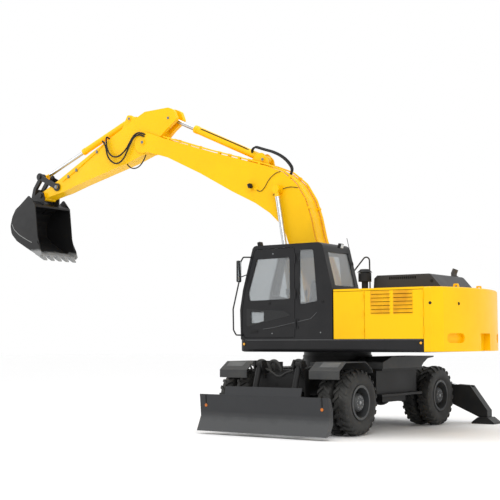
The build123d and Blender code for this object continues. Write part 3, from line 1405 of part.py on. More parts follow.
# ---------------------------------------------------------------- assembly
def all_nodes():
    """Every named piece in the upperstructure's frame, about the swing axis."""
    under = Rot(0, 0, UNDERCARRIAGE_TURN)
    nodes = {}

    def lower(name, shape):
        nodes[name] = under * shape

    lower("chassis_frame", chassis_frame())
    lower("slew_ring", slew_ring())
    lower("front_axle", front_axle())
    lower("rear_axle", rear_axle())
    lower("drive_shafts", drive_shafts())
    lower("fenders", fenders())
    lower("side_steps", side_steps())
    for name, side in (("left", 1), ("right", -1)):
        lower(f"{name}_knuckle", Pos(FRONT_AXLE_X, 0, AXLE_Z) * knuckle(side))
        for place, x in (("front", FRONT_AXLE_X), ("rear", REAR_AXLE_X)):
            lower(f"{place}_{name}_tyres", Pos(x, 0, AXLE_Z) * twin_tyres(side))
            lower(f"{place}_{name}_rims", Pos(x, 0, AXLE_Z) * twin_rims(side))
    lower("blade", blade())
    pair = [
        hydraulic_cylinder(BLADE_CYLINDER_TOP, BLADE_CYLINDER_FOOT, y, 48, 26, 480, 300, (50, 24), 30)
        for y in (-BLADE_ARM_Y, BLADE_ARM_Y)
    ]
    lower("blade_cylinder_barrels", Compound(children=[barrel for barrel, _ in pair]))
    lower("blade_cylinder_rods", Compound(children=[rod for _, rod in pair]))
    leg = outrigger_leg()
    barrel, rod = outrigger_cylinder()
    for name, piece in (("leg", leg), ("cylinder_barrel", barrel), ("cylinder_rod", rod)):
        lower(f"left_outrigger_{name}", piece)
        lower(f"right_outrigger_{name}", mirrored(piece))

    nodes["swing_frame"] = swing_frame()
    nodes["counterweight"] = counterweight()
    nodes["cab_shell"] = cab_shell()
    nodes["cab_glass"] = cab_glass()
    nodes["cab_door"] = cab_door()
    nodes["door_glass"] = door_glass()
    nodes["cab_seat"] = cab_seat()
    nodes["left_front_door"], nodes["left_rear_door"] = left_doors()
    nodes["right_rear_door"], nodes["tanks"] = right_side()
    nodes["engine_deck"] = engine_deck()
    nodes["hood"] = hood()
    nodes["engine"] = engine()
    nodes["exhaust_pipe"] = exhaust_pipe()
    nodes["pre_cleaner"] = pre_cleaner()
    nodes["handrails"] = handrails()

    boom_place = Pos(BOOM_FOOT[0], BOOM_Y, BOOM_FOOT[1]) * Rot(0, -BOOM_ANGLE, 0)
    arm_place = Pos(BOOM_TIP[0], BOOM_Y, BOOM_TIP[1]) * Rot(0, -ARM_ANGLE, 0)
    nodes["boom"] = boom_place * boom()
    nodes["boom_pipes"] = boom_place * boom_pipes()
    nodes["arm"] = arm_place * arm()
    nodes["rocker"] = arm_place * rocker()
    nodes["link"] = arm_place * link()
    nodes["bucket"] = Pos(ARM_TIP[0], BOOM_Y, ARM_TIP[1]) * bucket()

    boom_pin = placed(BOOM_CYLINDER_PIN, BOOM_FOOT, BOOM_ANGLE)
    pair = [
        hydraulic_cylinder(
            BOOM_CYLINDER_FOOT, boom_pin, BOOM_Y + side * BOOM_CYLINDER_Y,
            BOOM_CYLINDER_TUBE, 44, 1690, 1140, (CYLINDER_EYE_HALF, CYLINDER_EYE_HALF), 42,
        )
        for side in (-1, 1)
    ]
    nodes["boom_cylinder_barrels"] = Compound(children=[barrel for barrel, _ in pair])
    nodes["boom_cylinder_rods"] = Compound(children=[rod for _, rod in pair])
    foot = placed(ARM_CYLINDER_FOOT, BOOM_FOOT, BOOM_ANGLE)
    eye = placed(ARM_CYLINDER_PIN, BOOM_TIP, ARM_ANGLE)
    nodes["arm_cylinder_barrel"], nodes["arm_cylinder_rod"] = hydraulic_cylinder(
        foot, eye, BOOM_Y, ARM_CYLINDER_TUBE, 46, 1830, 500, (58, 58), 42
    )
    foot = placed(BUCKET_CYLINDER_FOOT, BOOM_TIP, ARM_ANGLE)
    eye = placed(ROCKER_END, BOOM_TIP, ARM_ANGLE)
    nodes["bucket_cylinder_barrel"], nodes["bucket_cylinder_rod"] = hydraulic_cylinder(
        foot, eye, BOOM_Y, 66, 40, 1440, 810, (58, 58), 38
    )
    return nodes


NODES = all_nodes()
BOX = Compound(children=[Compound(children=piece.solids()) for piece in NODES.values()]).bounding_box()
ORIGIN = (
    round((BOX.min.X + BOX.max.X) / 2),
    round((BOX.min.Y + BOX.max.Y) / 2),
    0.0,
)
for name, piece in NODES.items():
    solids = (Pos(-ORIGIN[0], -ORIGIN[1], -ORIGIN[2]) * piece).solids()
    export_step(solids[0] if len(solids) == 1 else Compound(children=solids), f"parts/{name}.step")
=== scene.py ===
import math

import bpy
from mathutils import Matrix, Vector


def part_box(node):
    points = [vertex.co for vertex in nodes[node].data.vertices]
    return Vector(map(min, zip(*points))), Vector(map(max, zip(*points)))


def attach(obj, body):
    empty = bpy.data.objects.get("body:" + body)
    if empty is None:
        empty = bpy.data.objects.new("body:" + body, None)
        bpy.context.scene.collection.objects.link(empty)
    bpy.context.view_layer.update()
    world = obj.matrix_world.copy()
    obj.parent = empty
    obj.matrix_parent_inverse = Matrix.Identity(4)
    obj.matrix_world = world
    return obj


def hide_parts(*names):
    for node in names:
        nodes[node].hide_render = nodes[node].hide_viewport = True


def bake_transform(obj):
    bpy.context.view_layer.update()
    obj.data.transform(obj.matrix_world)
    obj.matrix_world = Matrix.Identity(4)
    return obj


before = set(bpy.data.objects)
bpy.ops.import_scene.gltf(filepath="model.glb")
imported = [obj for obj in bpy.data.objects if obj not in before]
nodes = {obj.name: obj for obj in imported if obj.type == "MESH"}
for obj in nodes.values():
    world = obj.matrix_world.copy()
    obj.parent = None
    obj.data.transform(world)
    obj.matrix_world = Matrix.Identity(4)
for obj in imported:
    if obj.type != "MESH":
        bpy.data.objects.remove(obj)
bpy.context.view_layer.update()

# ---------------------------------------------------------------- camera, floor and light
# A plain studio: a matt pale floor that runs out of sight, a soft overhead
# light and a key light from the camera's left, as for a brochure picture.
scene = bpy.context.scene
scene.view_settings.view_transform = "Standard"
scene.view_settings.look = "None"

lens = bpy.data.cameras.new("studio_camera")
lens.sensor_width = 36.0
lens.lens = 77.62
lens.clip_end = 400.0
camera = bpy.data.objects.new("studio_camera", lens)
scene.collection.objects.link(camera)
scene.camera = camera
camera_place = Vector((-11.957, 16.619, 1.503))
look = Vector((0.5620, -0.8228, 0.0844)).normalized()
roll = math.radians(-0.16)
level_right = look.cross(Vector((0, 0, 1))).normalized()
level_up = level_right.cross(look)
right = level_right * math.cos(roll) + level_up * math.sin(roll)
up = level_up * math.cos(roll) - level_right * math.sin(roll)
camera.matrix_world = Matrix((right, up, -look)).transposed().to_4x4()
camera.location = camera_place


def from_hex(text):
    """An sRGB hex colour as linear red, green, blue and a full alpha."""
    parts = [int(text[i : i + 2], 16) / 255 for i in (1, 3, 5)]
    linear = [p / 12.92 if p <= 0.04045 else ((p + 0.055) / 1.055) ** 2.4 for p in parts]
    return (*linear, 1.0)


def add(material, kind, links=None, values=None, **settings):
    """Adds a node to a material. settings are the node's own, values are its
    sockets' numbers, and links name a socket and the output that feeds it."""
    made = material.node_tree.nodes.new(kind)
    for name, value in settings.items():
        setattr(made, name, value)
    for name, value in (values or {}).items():
        made.inputs[name].default_value = value
    for name, output in (links or {}).items():
        material.node_tree.links.new(output, made.inputs[name])
    return made


def new_material(name):
    """An empty material with its output and a surface shader to fill in."""
    material = bpy.data.materials.new(name)
    material.use_nodes = True
    material.node_tree.nodes.clear()
    shader = add(material, "ShaderNodeBsdfPrincipled")
    output = add(material, "ShaderNodeOutputMaterial", links={"Surface": shader.outputs["BSDF"]})
    output.location = (400, 0)
    return material, shader


def wear_in(piece, material):
    """Gives a piece one material in every slot that it has."""
    if not piece.data.materials:
        piece.data.materials.append(material)
    for i in range(len(piece.data.materials)):
        piece.data.materials[i] = material


# Matt painted screed: almost white, with a faint cloudiness.
floor_paint, shader = new_material("matt_floor_paint")
place = add(floor_paint, "ShaderNodeTexCoord").outputs["Object"]
clouds = add(floor_paint, "ShaderNodeTexNoise", {"Vector": place}, {"Scale": 0.4, "Detail": 3.0})
shade = add(floor_paint, "ShaderNodeValToRGB", {"Fac": clouds.outputs["Fac"]})
shade.color_ramp.elements[0].color = from_hex("#FDFDFD")
shade.color_ramp.elements[1].color = from_hex("#FFFFFF")
floor_paint.node_tree.links.new(shade.outputs["Color"], shader.inputs["Base Color"])
shader.inputs["Roughness"].default_value = 0.9
bpy.ops.object.select_all(action="DESELECT")
bpy.ops.mesh.primitive_plane_add(size=160.0, location=(0, 0, 0))
floor = bpy.context.object
floor.name = "studio_floor"
wear_in(floor, floor_paint)

world = bpy.data.worlds.new("studio")
scene.world = world
world.use_nodes = True
world.node_tree.nodes["Background"].inputs["Color"].default_value = from_hex("#FFFFFF")
world.node_tree.nodes["Background"].inputs["Strength"].default_value = 1.0

# name, place, aimed at, size, power
SOFT_BOXES = (
    ("key_light", (-9.0, 9.0, 9.0), (0.0, 0.0, 1.5), 5.0, 300.0),
    ("top_light", (0.5, 1.0, 12.0), (0.0, 0.0, 1.5), 7.0, 260.0),
    ("rim_light", (9.0, 4.0, 6.0), (1.0, 0.0, 2.0), 4.0, 90.0),
)
for name, spot, aim, size, power in SOFT_BOXES:
    lamp = bpy.data.lights.new(name, "AREA")
    lamp.shape = "SQUARE"
    lamp.size = size
    lamp.energy = power
    holder = bpy.data.objects.new(name, lamp)
    scene.collection.objects.link(holder)
    holder.location = spot
    way = Vector(aim) - Vector(spot)
    holder.rotation_euler = way.to_track_quat("-Z", "Y").to_euler()


# ---------------------------------------------------------------- undercarriage frame
# The welded box frame with its slewing pedestal, axles and shafts: thick plate
# and castings, shot-blasted and sprayed in one coat of dark satin chassis
# paint, with road dust lying in it.
def sprayed(name, colour, dusty, roughness, grit, gloss=0.3):
    """A sprayed or moulded finish. grit is the size in metres of its grain, and
    dusty is the colour that gathers on it in clouds."""
    material, shader = new_material(name)
    place = add(material, "ShaderNodeTexCoord").outputs["Object"]
    clouds = add(
        material, "ShaderNodeTexNoise", {"Vector": place}, {"Scale": 2.2, "Detail": 8.0, "Roughness": 0.6}
    )
    amount = add(
        material, "ShaderNodeMapRange", {"Value": clouds.outputs["Fac"]},
        {"From Min": 0.42, "From Max": 0.78, "To Min": 0.0, "To Max": 0.5},
    )
    mix = add(material, "ShaderNodeMix", data_type="RGBA")
    mix.inputs["A"].default_value = from_hex(colour)
    mix.inputs["B"].default_value = from_hex(dusty)
    links = material.node_tree.links
    links.new(amount.outputs["Result"], mix.inputs["Factor"])
    links.new(mix.outputs["Result"], shader.inputs["Base Color"])
    dull = add(
        material, "ShaderNodeMapRange", {"Value": clouds.outputs["Fac"]},
        {"To Min": roughness - 0.1, "To Max": roughness + 0.15},
    )
    links.new(dull.outputs["Result"], shader.inputs["Roughness"])
    shader.inputs["Specular IOR Level"].default_value = gloss
    grain = add(material, "ShaderNodeTexNoise", {"Vector": place}, {"Scale": 1 / grit, "Detail": 2.0})
    bump = add(
        material, "ShaderNodeBump", {"Height": grain.outputs["Fac"]},
        {"Strength": 0.25, "Distance": grit / 6},
    )
    links.new(bump.outputs["Normal"], shader.inputs["Normal"])
    return material


# One-coat chassis paint over blasted plate: dull black with grey dust in it.
chassis_paint = sprayed("satin_chassis_paint", "#141415", "#2C2B29", 0.5, 0.012)
for name in ("chassis_frame", "slew_ring", "front_axle", "rear_axle", "drive_shafts",
             "left_knuckle", "right_knuckle", "blade_cylinder_barrels"):
    wear_in(nodes[name], chassis_paint)


# ---------------------------------------------------------------- fenders and side boxes
# Folded plate mudguards that serve as steps, with strips of stuck-on abrasive
# on their tops, and the tool boxes with their treads between the wheels.
fender_paint = sprayed("scuffed_step_paint", "#3A3B3C", "#5A5954", 0.55, 0.01)
wear_in(nodes["fenders"], fender_paint)
wear_in(nodes["side_steps"], chassis_paint)


def under(along, across, height):
    """A point given along and across the undercarriage, in the shared frame."""
    turn = math.radians(88.0)
    x = -2.495 + along * math.cos(turn) - across * math.sin(turn)
    y = 0.049 + along * math.sin(turn) + across * math.cos(turn)
    return Vector((x, y, height))


def rod_between(start, end, radius, sides=24):
    """A primitive round bar between two points."""
    bpy.ops.object.select_all(action="DESELECT")
    start, end = Vector(start), Vector(end)
    way = end - start
    bpy.ops.mesh.primitive_cylinder_add(
        vertices=sides, radius=radius, depth=way.length, location=(start + end) / 2,
        rotation=way.to_track_quat("Z", "Y").to_euler(),
    )
    piece = bpy.context.object
    bpy.ops.object.transform_apply(location=True, rotation=True, scale=True)
    return piece


def joined(*pieces):
    """One object from several."""
    bpy.ops.object.select_all(action="DESELECT")
    for piece in pieces:
        piece.select_set(True)
    bpy.context.view_layer.objects.active = pieces[0]
    if len(pieces) > 1:
        bpy.ops.object.join()
    return bpy.context.object


def finished(piece, name, body, material, edge=0.0, segments=2):
    """Names a piece, rounds its edges, gives it its material and its body."""
    joined(piece)
    if edge:
        rounding = piece.modifiers.new("edges", "BEVEL")
        rounding.width = edge
        rounding.segments = segments
        rounding.limit_method = "ANGLE"
        bpy.ops.object.modifier_apply(modifier="edges")
    bpy.ops.object.shade_smooth_by_angle(angle=math.radians(35))
    piece.name = name
    piece.data.name = name
    wear_in(piece, material)
    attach(piece, body)
    return piece


# Silicon-carbide tape: pale grey grit, matt, scuffed almost white in the middle.
grip_tape = sprayed("abrasive_grip_tape", "#5C5D5D", "#8C8C88", 0.85, 0.006)
# along, across and height of the slope that the tape covers
SLOPE = ((1.665, 0.76, 1.162), (1.775, 0.76, 1.090), (1.775, 1.10, 1.090), (1.665, 1.10, 1.162))
for side in (-1, 1):
    corners = [under(along, side * across, height) for along, across, height in SLOPE]
    bpy.ops.object.select_all(action="DESELECT")
    bpy.ops.mesh.primitive_circle_add(vertices=4, fill_type="NGON")
    patch = bpy.context.object
    for vertex, corner in zip(patch.data.vertices, corners):
        vertex.co = corner
    bpy.ops.object.mode_set(mode="EDIT")
    bpy.ops.mesh.select_all(action="SELECT")
    bpy.ops.mesh.extrude_region_move(TRANSFORM_OT_translate={"value": (0, 0, 0.004)})
    bpy.ops.mesh.select_all(action="SELECT")
    bpy.ops.mesh.normals_make_consistent(inside=False)
    bpy.ops.object.mode_set(mode="OBJECT")
    finished(patch, f"fender_grip_{'left' if side > 0 else 'right'}", "undercarriage", grip_tape, 0.0015)

# Checker-plate treads of the side boxes: raised bars pressed into each.
for side in (-1, 1):
    bars = []
    for height in (1.045, 0.621):
        for number in range(14):
            along = -0.80 + number * 0.1
            outer_end = under(along, side * 1.195, height)
            bars.append(rod_between(outer_end, under(along, side * 1.02, height), 0.006, 8))
    finished(joined(*bars), f"step_ribs_{'left' if side > 0 else 'right'}", "undercarriage", fender_paint)


# ---------------------------------------------------------------- wheels
# Twin 10.00-20 cross-ply tyres on pressed steel rims: each carcass is a
# moulded ring with a sidewall bead line, and the chevron lugs stand on it.
TYRE_RADIUS = 0.527
TWIN_OFFSET = 0.15  # of each tyre's middle from the pair's
CARCASS = (  # across from the tyre's middle, and radius
    (0.0, 0.500), (0.05, 0.498), (0.086, 0.490), (0.106, 0.476), (0.118, 0.450), (0.128, 0.42),
    (0.131, 0.385), (0.128, 0.35), (0.118, 0.315), (0.101, 0.292), (0.093, 0.262),
)
LUG_TOP = ((0.004, 0.5268), (0.042, 0.5260), (0.090, 0.5125), (0.1115, 0.5060), (0.1255, 0.4640))
LUG_FOOT = ((0.004, 0.497), (0.046, 0.496), (0.086, 0.487), (0.105, 0.473), (0.116, 0.446))
LUGS = 24
LUG_WIDTH = (0.050, 0.050, 0.054, 0.058, 0.050)
LUG_LEAD = (0.0, 0.040, 0.078, 0.092, 0.096)  # how far each row trails its tip

bpy.ops.object.select_all(action="DESELECT")
section = CARCASS + tuple((-across, radius) for across, radius in reversed(CARCASS[1:]))
bpy.ops.mesh.primitive_circle_add(vertices=len(section), fill_type="NOTHING")
carcass = bpy.context.object
for vertex, (across, radius) in zip(carcass.data.vertices, section):
    vertex.co = (0.0, across, radius)
bpy.ops.object.mode_set(mode="EDIT")
bpy.ops.mesh.select_all(action="SELECT")
bpy.ops.mesh.spin(steps=72, angle=math.tau, center=(0, 0, 0), axis=(0, 1, 0))
bpy.ops.mesh.select_all(action="SELECT")
bpy.ops.mesh.remove_doubles(threshold=0.0002)
bpy.ops.mesh.normals_make_consistent(inside=False)
bpy.ops.object.mode_set(mode="OBJECT")

bpy.ops.object.select_all(action="DESELECT")
bpy.ops.mesh.primitive_cube_add(size=2.0)
lug = bpy.context.object
bpy.ops.object.mode_set(mode="EDIT")
bpy.ops.mesh.select_all(action="SELECT")
bpy.ops.mesh.subdivide(number_cuts=3)
bpy.ops.object.mode_set(mode="OBJECT")
lugs = []
for mirror_side in (-1, 1):
    shaped = lug.copy()
    shaped.data = lug.data.copy()
    scene.collection.objects.link(shaped)
    for vertex in shaped.data.vertices:
        row = round((vertex.co.y + 1) * 2)
        lift = (vertex.co.z + 1) / 2
        foot, top = LUG_FOOT[row], LUG_TOP[row]
        across = foot[0] + (top[0] - foot[0]) * lift
        radius = foot[1] + (top[1] - foot[1]) * lift
        arc = LUG_LEAD[row] + vertex.co.x * LUG_WIDTH[row] / 2 * (1.12 - 0.12 * lift)
        angle = arc / TYRE_RADIUS
        vertex.co = (radius * math.sin(angle), across * mirror_side, radius * math.cos(angle))
    for number in range(LUGS):
        turned = shaped.copy()
        turned.data = shaped.data.copy()
        turned.data.transform(Matrix.Rotation(math.tau * number / LUGS, 4, "Y"))
        scene.collection.objects.link(turned)
        lugs.append(turned)
    bpy.data.objects.remove(shaped)
bpy.data.objects.remove(lug)
tyre_shape = joined(carcass, *lugs)
bpy.ops.object.mode_set(mode="EDIT")
bpy.ops.mesh.select_all(action="SELECT")
bpy.ops.mesh.normals_make_consistent(inside=False)
bpy.ops.object.mode_set(mode="OBJECT")

# Vulcanised carbon-black rubber: deep grey, matt, dusted pale by the road.
tyre_rubber = sprayed("vulcanised_rubber", "#1E1E1E", "#565550", 0.62, 0.006, 0.45)
# Pressed steel rims: grey enamel, a little glossier than the frame.
rim_paint = sprayed("grey_rim_enamel", "#3C3E40", "#5C5B56", 0.42, 0.008, 0.4)
# Zinc-plated nuts: pale, soft shine.
zinc_plate = sprayed("zinc_plated_steel", "#8E9092", "#6E6D68", 0.4, 0.004, 0.5)
FIXINGS = 10
# radius of the bolt circle, where each stands along the axle, its height and radius
RIM_NUTS = (0.171, 0.019, 0.024, 0.016)
HUB_BOLTS = (0.088, 0.239, 0.008, 0.009)
for wheel in ("front_left", "front_right", "rear_left", "rear_right"):
    low, high = (Vector(corner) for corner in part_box(f"{wheel}_tyres"))
    middle = (low + high) / 2
    outward = 88.0 if "left" in wheel else 268.0
    stand = Matrix.Translation(middle) @ Matrix.Rotation(math.radians(outward), 4, "Z")
    pair = []
    for step in (-TWIN_OFFSET, TWIN_OFFSET):
        one = tyre_shape.copy()
        one.data = tyre_shape.data.copy()
        one.data.transform(stand @ Matrix.Translation((0, step, 0)))
        scene.collection.objects.link(one)
        pair.append(one)
    tyres = finished(joined(*pair), f"{wheel}_tyre_pair", f"{wheel}_wheel", tyre_rubber)
    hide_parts(f"{wheel}_tyres")
    wear_in(nodes[f"{wheel}_rims"], rim_paint)
    fixings = []
    for number in range(FIXINGS):
        angle = math.tau * number / FIXINGS
        for circle, foot, tall, radius in (RIM_NUTS, HUB_BOLTS):
            spot = Vector((circle * math.sin(angle), foot, circle * math.cos(angle)))
            fixings.append(rod_between(stand @ spot, stand @ (spot + Vector((0, tall, 0))), radius, 6))
    plug = rod_between(stand @ Vector((0, 0.239, 0)), stand @ Vector((0, 0.250, 0)), 0.03, 8)
    finished(joined(plug, *fixings), f"{wheel}_wheel_nuts", f"{wheel}_wheel", zinc_plate, 0.002, 1)
bpy.data.objects.remove(tyre_shape)


# ---------------------------------------------------------------- dozer blade
# A rolled mouldboard with end plates and a bolted cutting edge: painted dark
# above, and rubbed to a lighter grey where it ploughs. Its rams are chromed.
blade_paint, shader = new_material("ploughed_blade_paint")
place = add(blade_paint, "ShaderNodeTexCoord").outputs["Object"]
height = add(blade_paint, "ShaderNodeSeparateXYZ", {"Vector": place}).outputs["Z"]
scrapes = add(
    blade_paint, "ShaderNodeTexNoise", {"Vector": place}, {"Scale": 3.0, "Detail": 8.0, "Roughness": 0.65}
)
band = add(blade_paint, "ShaderNodeMath", {0: height}, operation="MULTIPLY_ADD")
band.inputs[1].default_value = -14.0
band.inputs[2].default_value = 5.2
rubbed = add(
    blade_paint, "ShaderNodeMath", {0: band.outputs["Value"], 1: scrapes.outputs["Fac"]},
    operation="MULTIPLY", use_clamp=True,
)
tone = add(blade_paint, "ShaderNodeMix", data_type="RGBA")
tone.inputs["A"].default_value = from_hex("#303133")
tone.inputs["B"].default_value = from_hex("#4C4D4E")
blade_paint.node_tree.links.new(rubbed.outputs["Value"], tone.inputs["Factor"])
blade_paint.node_tree.links.new(tone.outputs["Result"], shader.inputs["Base Color"])
dull = add(
    blade_paint, "ShaderNodeMapRange", {"Value": scrapes.outputs["Fac"]}, {"To Min": 0.4, "To Max": 0.7}
)
blade_paint.node_tree.links.new(dull.outputs["Result"], shader.inputs["Roughness"])
grain = add(blade_paint, "ShaderNodeTexNoise", {"Vector": place}, {"Scale": 90.0})
bump = add(
    blade_paint, "ShaderNodeBump", {"Height": grain.outputs["Fac"]}, {"Strength": 0.2, "Distance": 0.002}
)
blade_paint.node_tree.links.new(bump.outputs["Normal"], shader.inputs["Normal"])
shader.inputs["Specular IOR Level"].default_value = 0.3
wear_in(nodes["blade"], blade_paint)


def touch(node, start, way):
    """The first point of a node that a straight line from start meets."""
    return nodes[node].ray_cast(Vector(start), Vector(way).normalized())[1]


# Moulded acrylic reflectors and lamp lenses: amber, clear-coated, bright.
amber_lens = sprayed("amber_acrylic", "#C46A18", "#A85A14", 0.25, 0.01, 0.4)
forward = under(1, 0, 0) - under(0, 0, 0)
for side in (-1, 1):
    word = "left" if side > 0 else "right"
    spot = touch("blade", under(3.2, side * 1.125, 0.463), -forward)
    lens_disc = rod_between(spot - forward * 0.004, spot + forward * 0.007, 0.026, 20)
    finished(lens_disc, f"blade_reflector_{word}", "blade", amber_lens, 0.002)
    # A folded stiffener runs up from the reflector to the blade's top edge.
    foot = touch("blade", under(3.2, side * 1.125, 0.50), -forward)
    head = touch("blade", under(3.2, side * 1.125, 0.64), -forward)
    finished(rod_between(foot, head, 0.012, 12), f"blade_stiffener_{word}", "blade", chassis_paint)

# Hard chrome on a ground rod: a clean mirror with faint drawn rings.
hard_chrome, shader = new_material("hard_chrome")
place = add(hard_chrome, "ShaderNodeTexCoord").outputs["Object"]
smears = add(hard_chrome, "ShaderNodeTexNoise", {"Vector": place}, {"Scale": 12.0, "Detail": 5.0})
dull = add(
    hard_chrome, "ShaderNodeMapRange", {"Value": smears.outputs["Fac"]}, {"To Min": 0.1, "To Max": 0.3}
)
hard_chrome.node_tree.links.new(dull.outputs["Result"], shader.inputs["Roughness"])
shader.inputs["Base Color"].default_value = from_hex("#C8CACC")
shader.inputs["Metallic"].default_value = 1.0
wear_in(nodes["blade_cylinder_rods"], hard_chrome)


# ---------------------------------------------------------------- outriggers
# Folded and welded stabiliser legs with swivel feet, each worked by one ram
# that is pinned to the frame. They take the chassis paint's coat, but knocks
# and stones rub the legs paler.
outrigger_paint = sprayed("rubbed_outrigger_paint", "#1E1F20", "#3A3937", 0.45, 0.012)
for side in ("left", "right"):
    wear_in(nodes[f"{side}_outrigger_leg"], outrigger_paint)
    wear_in(nodes[f"{side}_outrigger_cylinder_barrel"], chassis_paint)
    wear_in(nodes[f"{side}_outrigger_cylinder_rod"], hard_chrome)


# ---------------------------------------------------------------- upper frame and skirt
# The turntable's fabricated frame with its folded skirt: thick sheet in
# charcoal stove enamel. A strip of lighter grey along the skirt's top is a
# painted highlight on its edge.
charcoal_enamel = sprayed("charcoal_enamel", "#19191B", "#29292A", 0.4, 0.015, 0.28)
for name in ("swing_frame", "tanks"):
    wear_in(nodes[name], charcoal_enamel)
# Cast iron and hoses of the engine: black, oily, blotched.
oily_iron = sprayed("oily_cast_iron", "#1D1C1A", "#33302B", 0.55, 0.01, 0.4)
wear_in(nodes["engine"], oily_iron)
# Heat-blued steel of the exhaust stub, browned by the gas.
hot_steel = sprayed("heat_browned_steel", "#4A4642", "#3A2E25", 0.45, 0.01, 0.5)
wear_in(nodes["exhaust_pipe"], hot_steel)
# Moulded black polypropylene: even, dull, fine leather grain.
black_plastic = sprayed("black_polypropylene", "#151516", "#232323", 0.55, 0.003, 0.3)
wear_in(nodes["pre_cleaner"], black_plastic)
# Handrails in satin black tube paint, rubbed at the grips.
rail_paint = sprayed("satin_rail_paint", "#1C1C1D", "#3C3B39", 0.4, 0.006, 0.4)
wear_in(nodes["handrails"], rail_paint)
# Painted highlight: a dark satin grey, lighter than the charcoal, laid where
# light catches an edge or a crease.
highlight_grey = sprayed("painted_highlight_grey", "#4A4B4D", "#5A5B5A", 0.4, 0.004, 0.4)


def cube_between(low, high):
    """A primitive block between two corners, ready to be shaped."""
    bpy.ops.object.select_all(action="DESELECT")
    bpy.ops.mesh.primitive_cube_add(size=1.0, location=[(a + b) / 2 for a, b in zip(low, high)])
    piece = bpy.context.object
    piece.scale = [b - a for a, b in zip(low, high)]
    bpy.ops.object.transform_apply(location=True, rotation=True, scale=True)
    return piece


BEYOND = 3.0  # a distance past either side of the machine


def side_spot(node, x, z, side=1):
    """The point of a node's left side, or with -1 its right side, at x and z."""
    return touch(node, (x, BEYOND * side, z), (0, -side, 0))


def button(node, x, z, sunk, proud, radius, sides=28):
    """A short round bar that stands out of a node's left side."""
    spot = side_spot(node, x, z)
    return rod_between(spot - Vector((0, sunk, 0)), spot + Vector((0, proud, 0)), radius, sides)


frame_low, frame_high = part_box("swing_frame")
skirt_y = side_spot("swing_frame", -4.2, 1.48).y
# A thin strip of the lighter grey along the skirt's top edge: a painted highlight.
edge_highlight = cube_between(
    (frame_low[0] + 0.03, skirt_y - 0.003, 1.516), (frame_high[0] - 0.16, skirt_y + 0.005, 1.530)
)
finished(edge_highlight, "skirt_edge_highlight", "upper", highlight_grey, 0.002)

# The side marker lamps: amber lenses in black rubber rings.
marker_lens = sprayed("yellow_marker_acrylic", "#F2AC22", "#E09A1A", 0.2, 0.01, 0.6)
soft_rubber = sprayed("extruded_black_rubber", "#171717", "#2B2B2A", 0.7, 0.003, 0.3)
for number, (x, z) in enumerate(((-1.363, 1.456), (-4.69, 1.47)), 1):
    ring = button("swing_frame", x, z, 0.004, 0.008, 0.028)
    finished(ring, f"marker_ring_{number}", "upper", soft_rubber, 0.003)
    cover = button("swing_frame", x, z, 0.0, 0.016, 0.021)
    finished(cover, f"marker_lens_{number}", "upper", marker_lens, 0.006, 3)


# ---------------------------------------------------------------- yellow sheet metal
# Counterweight casting, bay doors and deck plates: filled, flatted and sprayed
# in two-pack enamel. Rubber blanking plugs are pressed in last.
yellow_enamel = sprayed("yellow_enamel", "#FBC300", "#EDB400", 0.36, 0.02, 0.22)
for name in ("counterweight", "left_front_door", "right_rear_door", "engine_deck"):
    wear_in(nodes[name], yellow_enamel)
# Painted shade: the enamel round the louvres of the engine bay's door darkens
# to brown-orange, in blotches, for the shadow in their slots.
louvre_shade_enamel, shader = new_material("louvre_painted_shade_enamel")
place = add(louvre_shade_enamel, "ShaderNodeTexCoord").outputs["Object"]
parts = add(louvre_shade_enamel, "ShaderNodeSeparateXYZ", {"Vector": place})
blotches = add(louvre_shade_enamel, "ShaderNodeTexNoise", {"Vector": place}, {"Scale": 5.0, "Detail": 4.0})
factor = blotches.outputs["Fac"]
# The painted shade fades out at the louvres' foot and top, then at their rear and front.
for axis, unshaded_at, shaded_at in (
    ("Z", 1.915, 1.935), ("Z", 2.335, 2.315), ("X", -4.565, -4.550), ("X", -3.805, -3.820),
):
    edge = add(
        louvre_shade_enamel, "ShaderNodeMapRange", {"Value": parts.outputs[axis]},
        {"From Min": unshaded_at, "From Max": shaded_at},
    )
    product = add(
        louvre_shade_enamel, "ShaderNodeMath", {0: factor, 1: edge.outputs["Result"]}, operation="MULTIPLY",
    )
    factor = product.outputs["Value"]
from_middle = add(louvre_shade_enamel, "ShaderNodeMath", {0: parts.outputs["X"]}, operation="ADD")
from_middle.inputs[1].default_value = 4.1865
distance = add(louvre_shade_enamel, "ShaderNodeMath", {0: from_middle.outputs["Value"]}, operation="ABSOLUTE")
clear_strip = add(
    louvre_shade_enamel, "ShaderNodeMapRange", {"Value": distance.outputs["Value"]},
    {"From Min": 0.026, "From Max": 0.036},
)
product = add(
    louvre_shade_enamel, "ShaderNodeMath", {0: factor, 1: clear_strip.outputs["Result"]}, operation="MULTIPLY",
)
strength = add(
    louvre_shade_enamel, "ShaderNodeMapRange", {"Value": product.outputs["Value"]},
    {"From Min": 0.05, "From Max": 0.75, "To Max": 0.85},
)
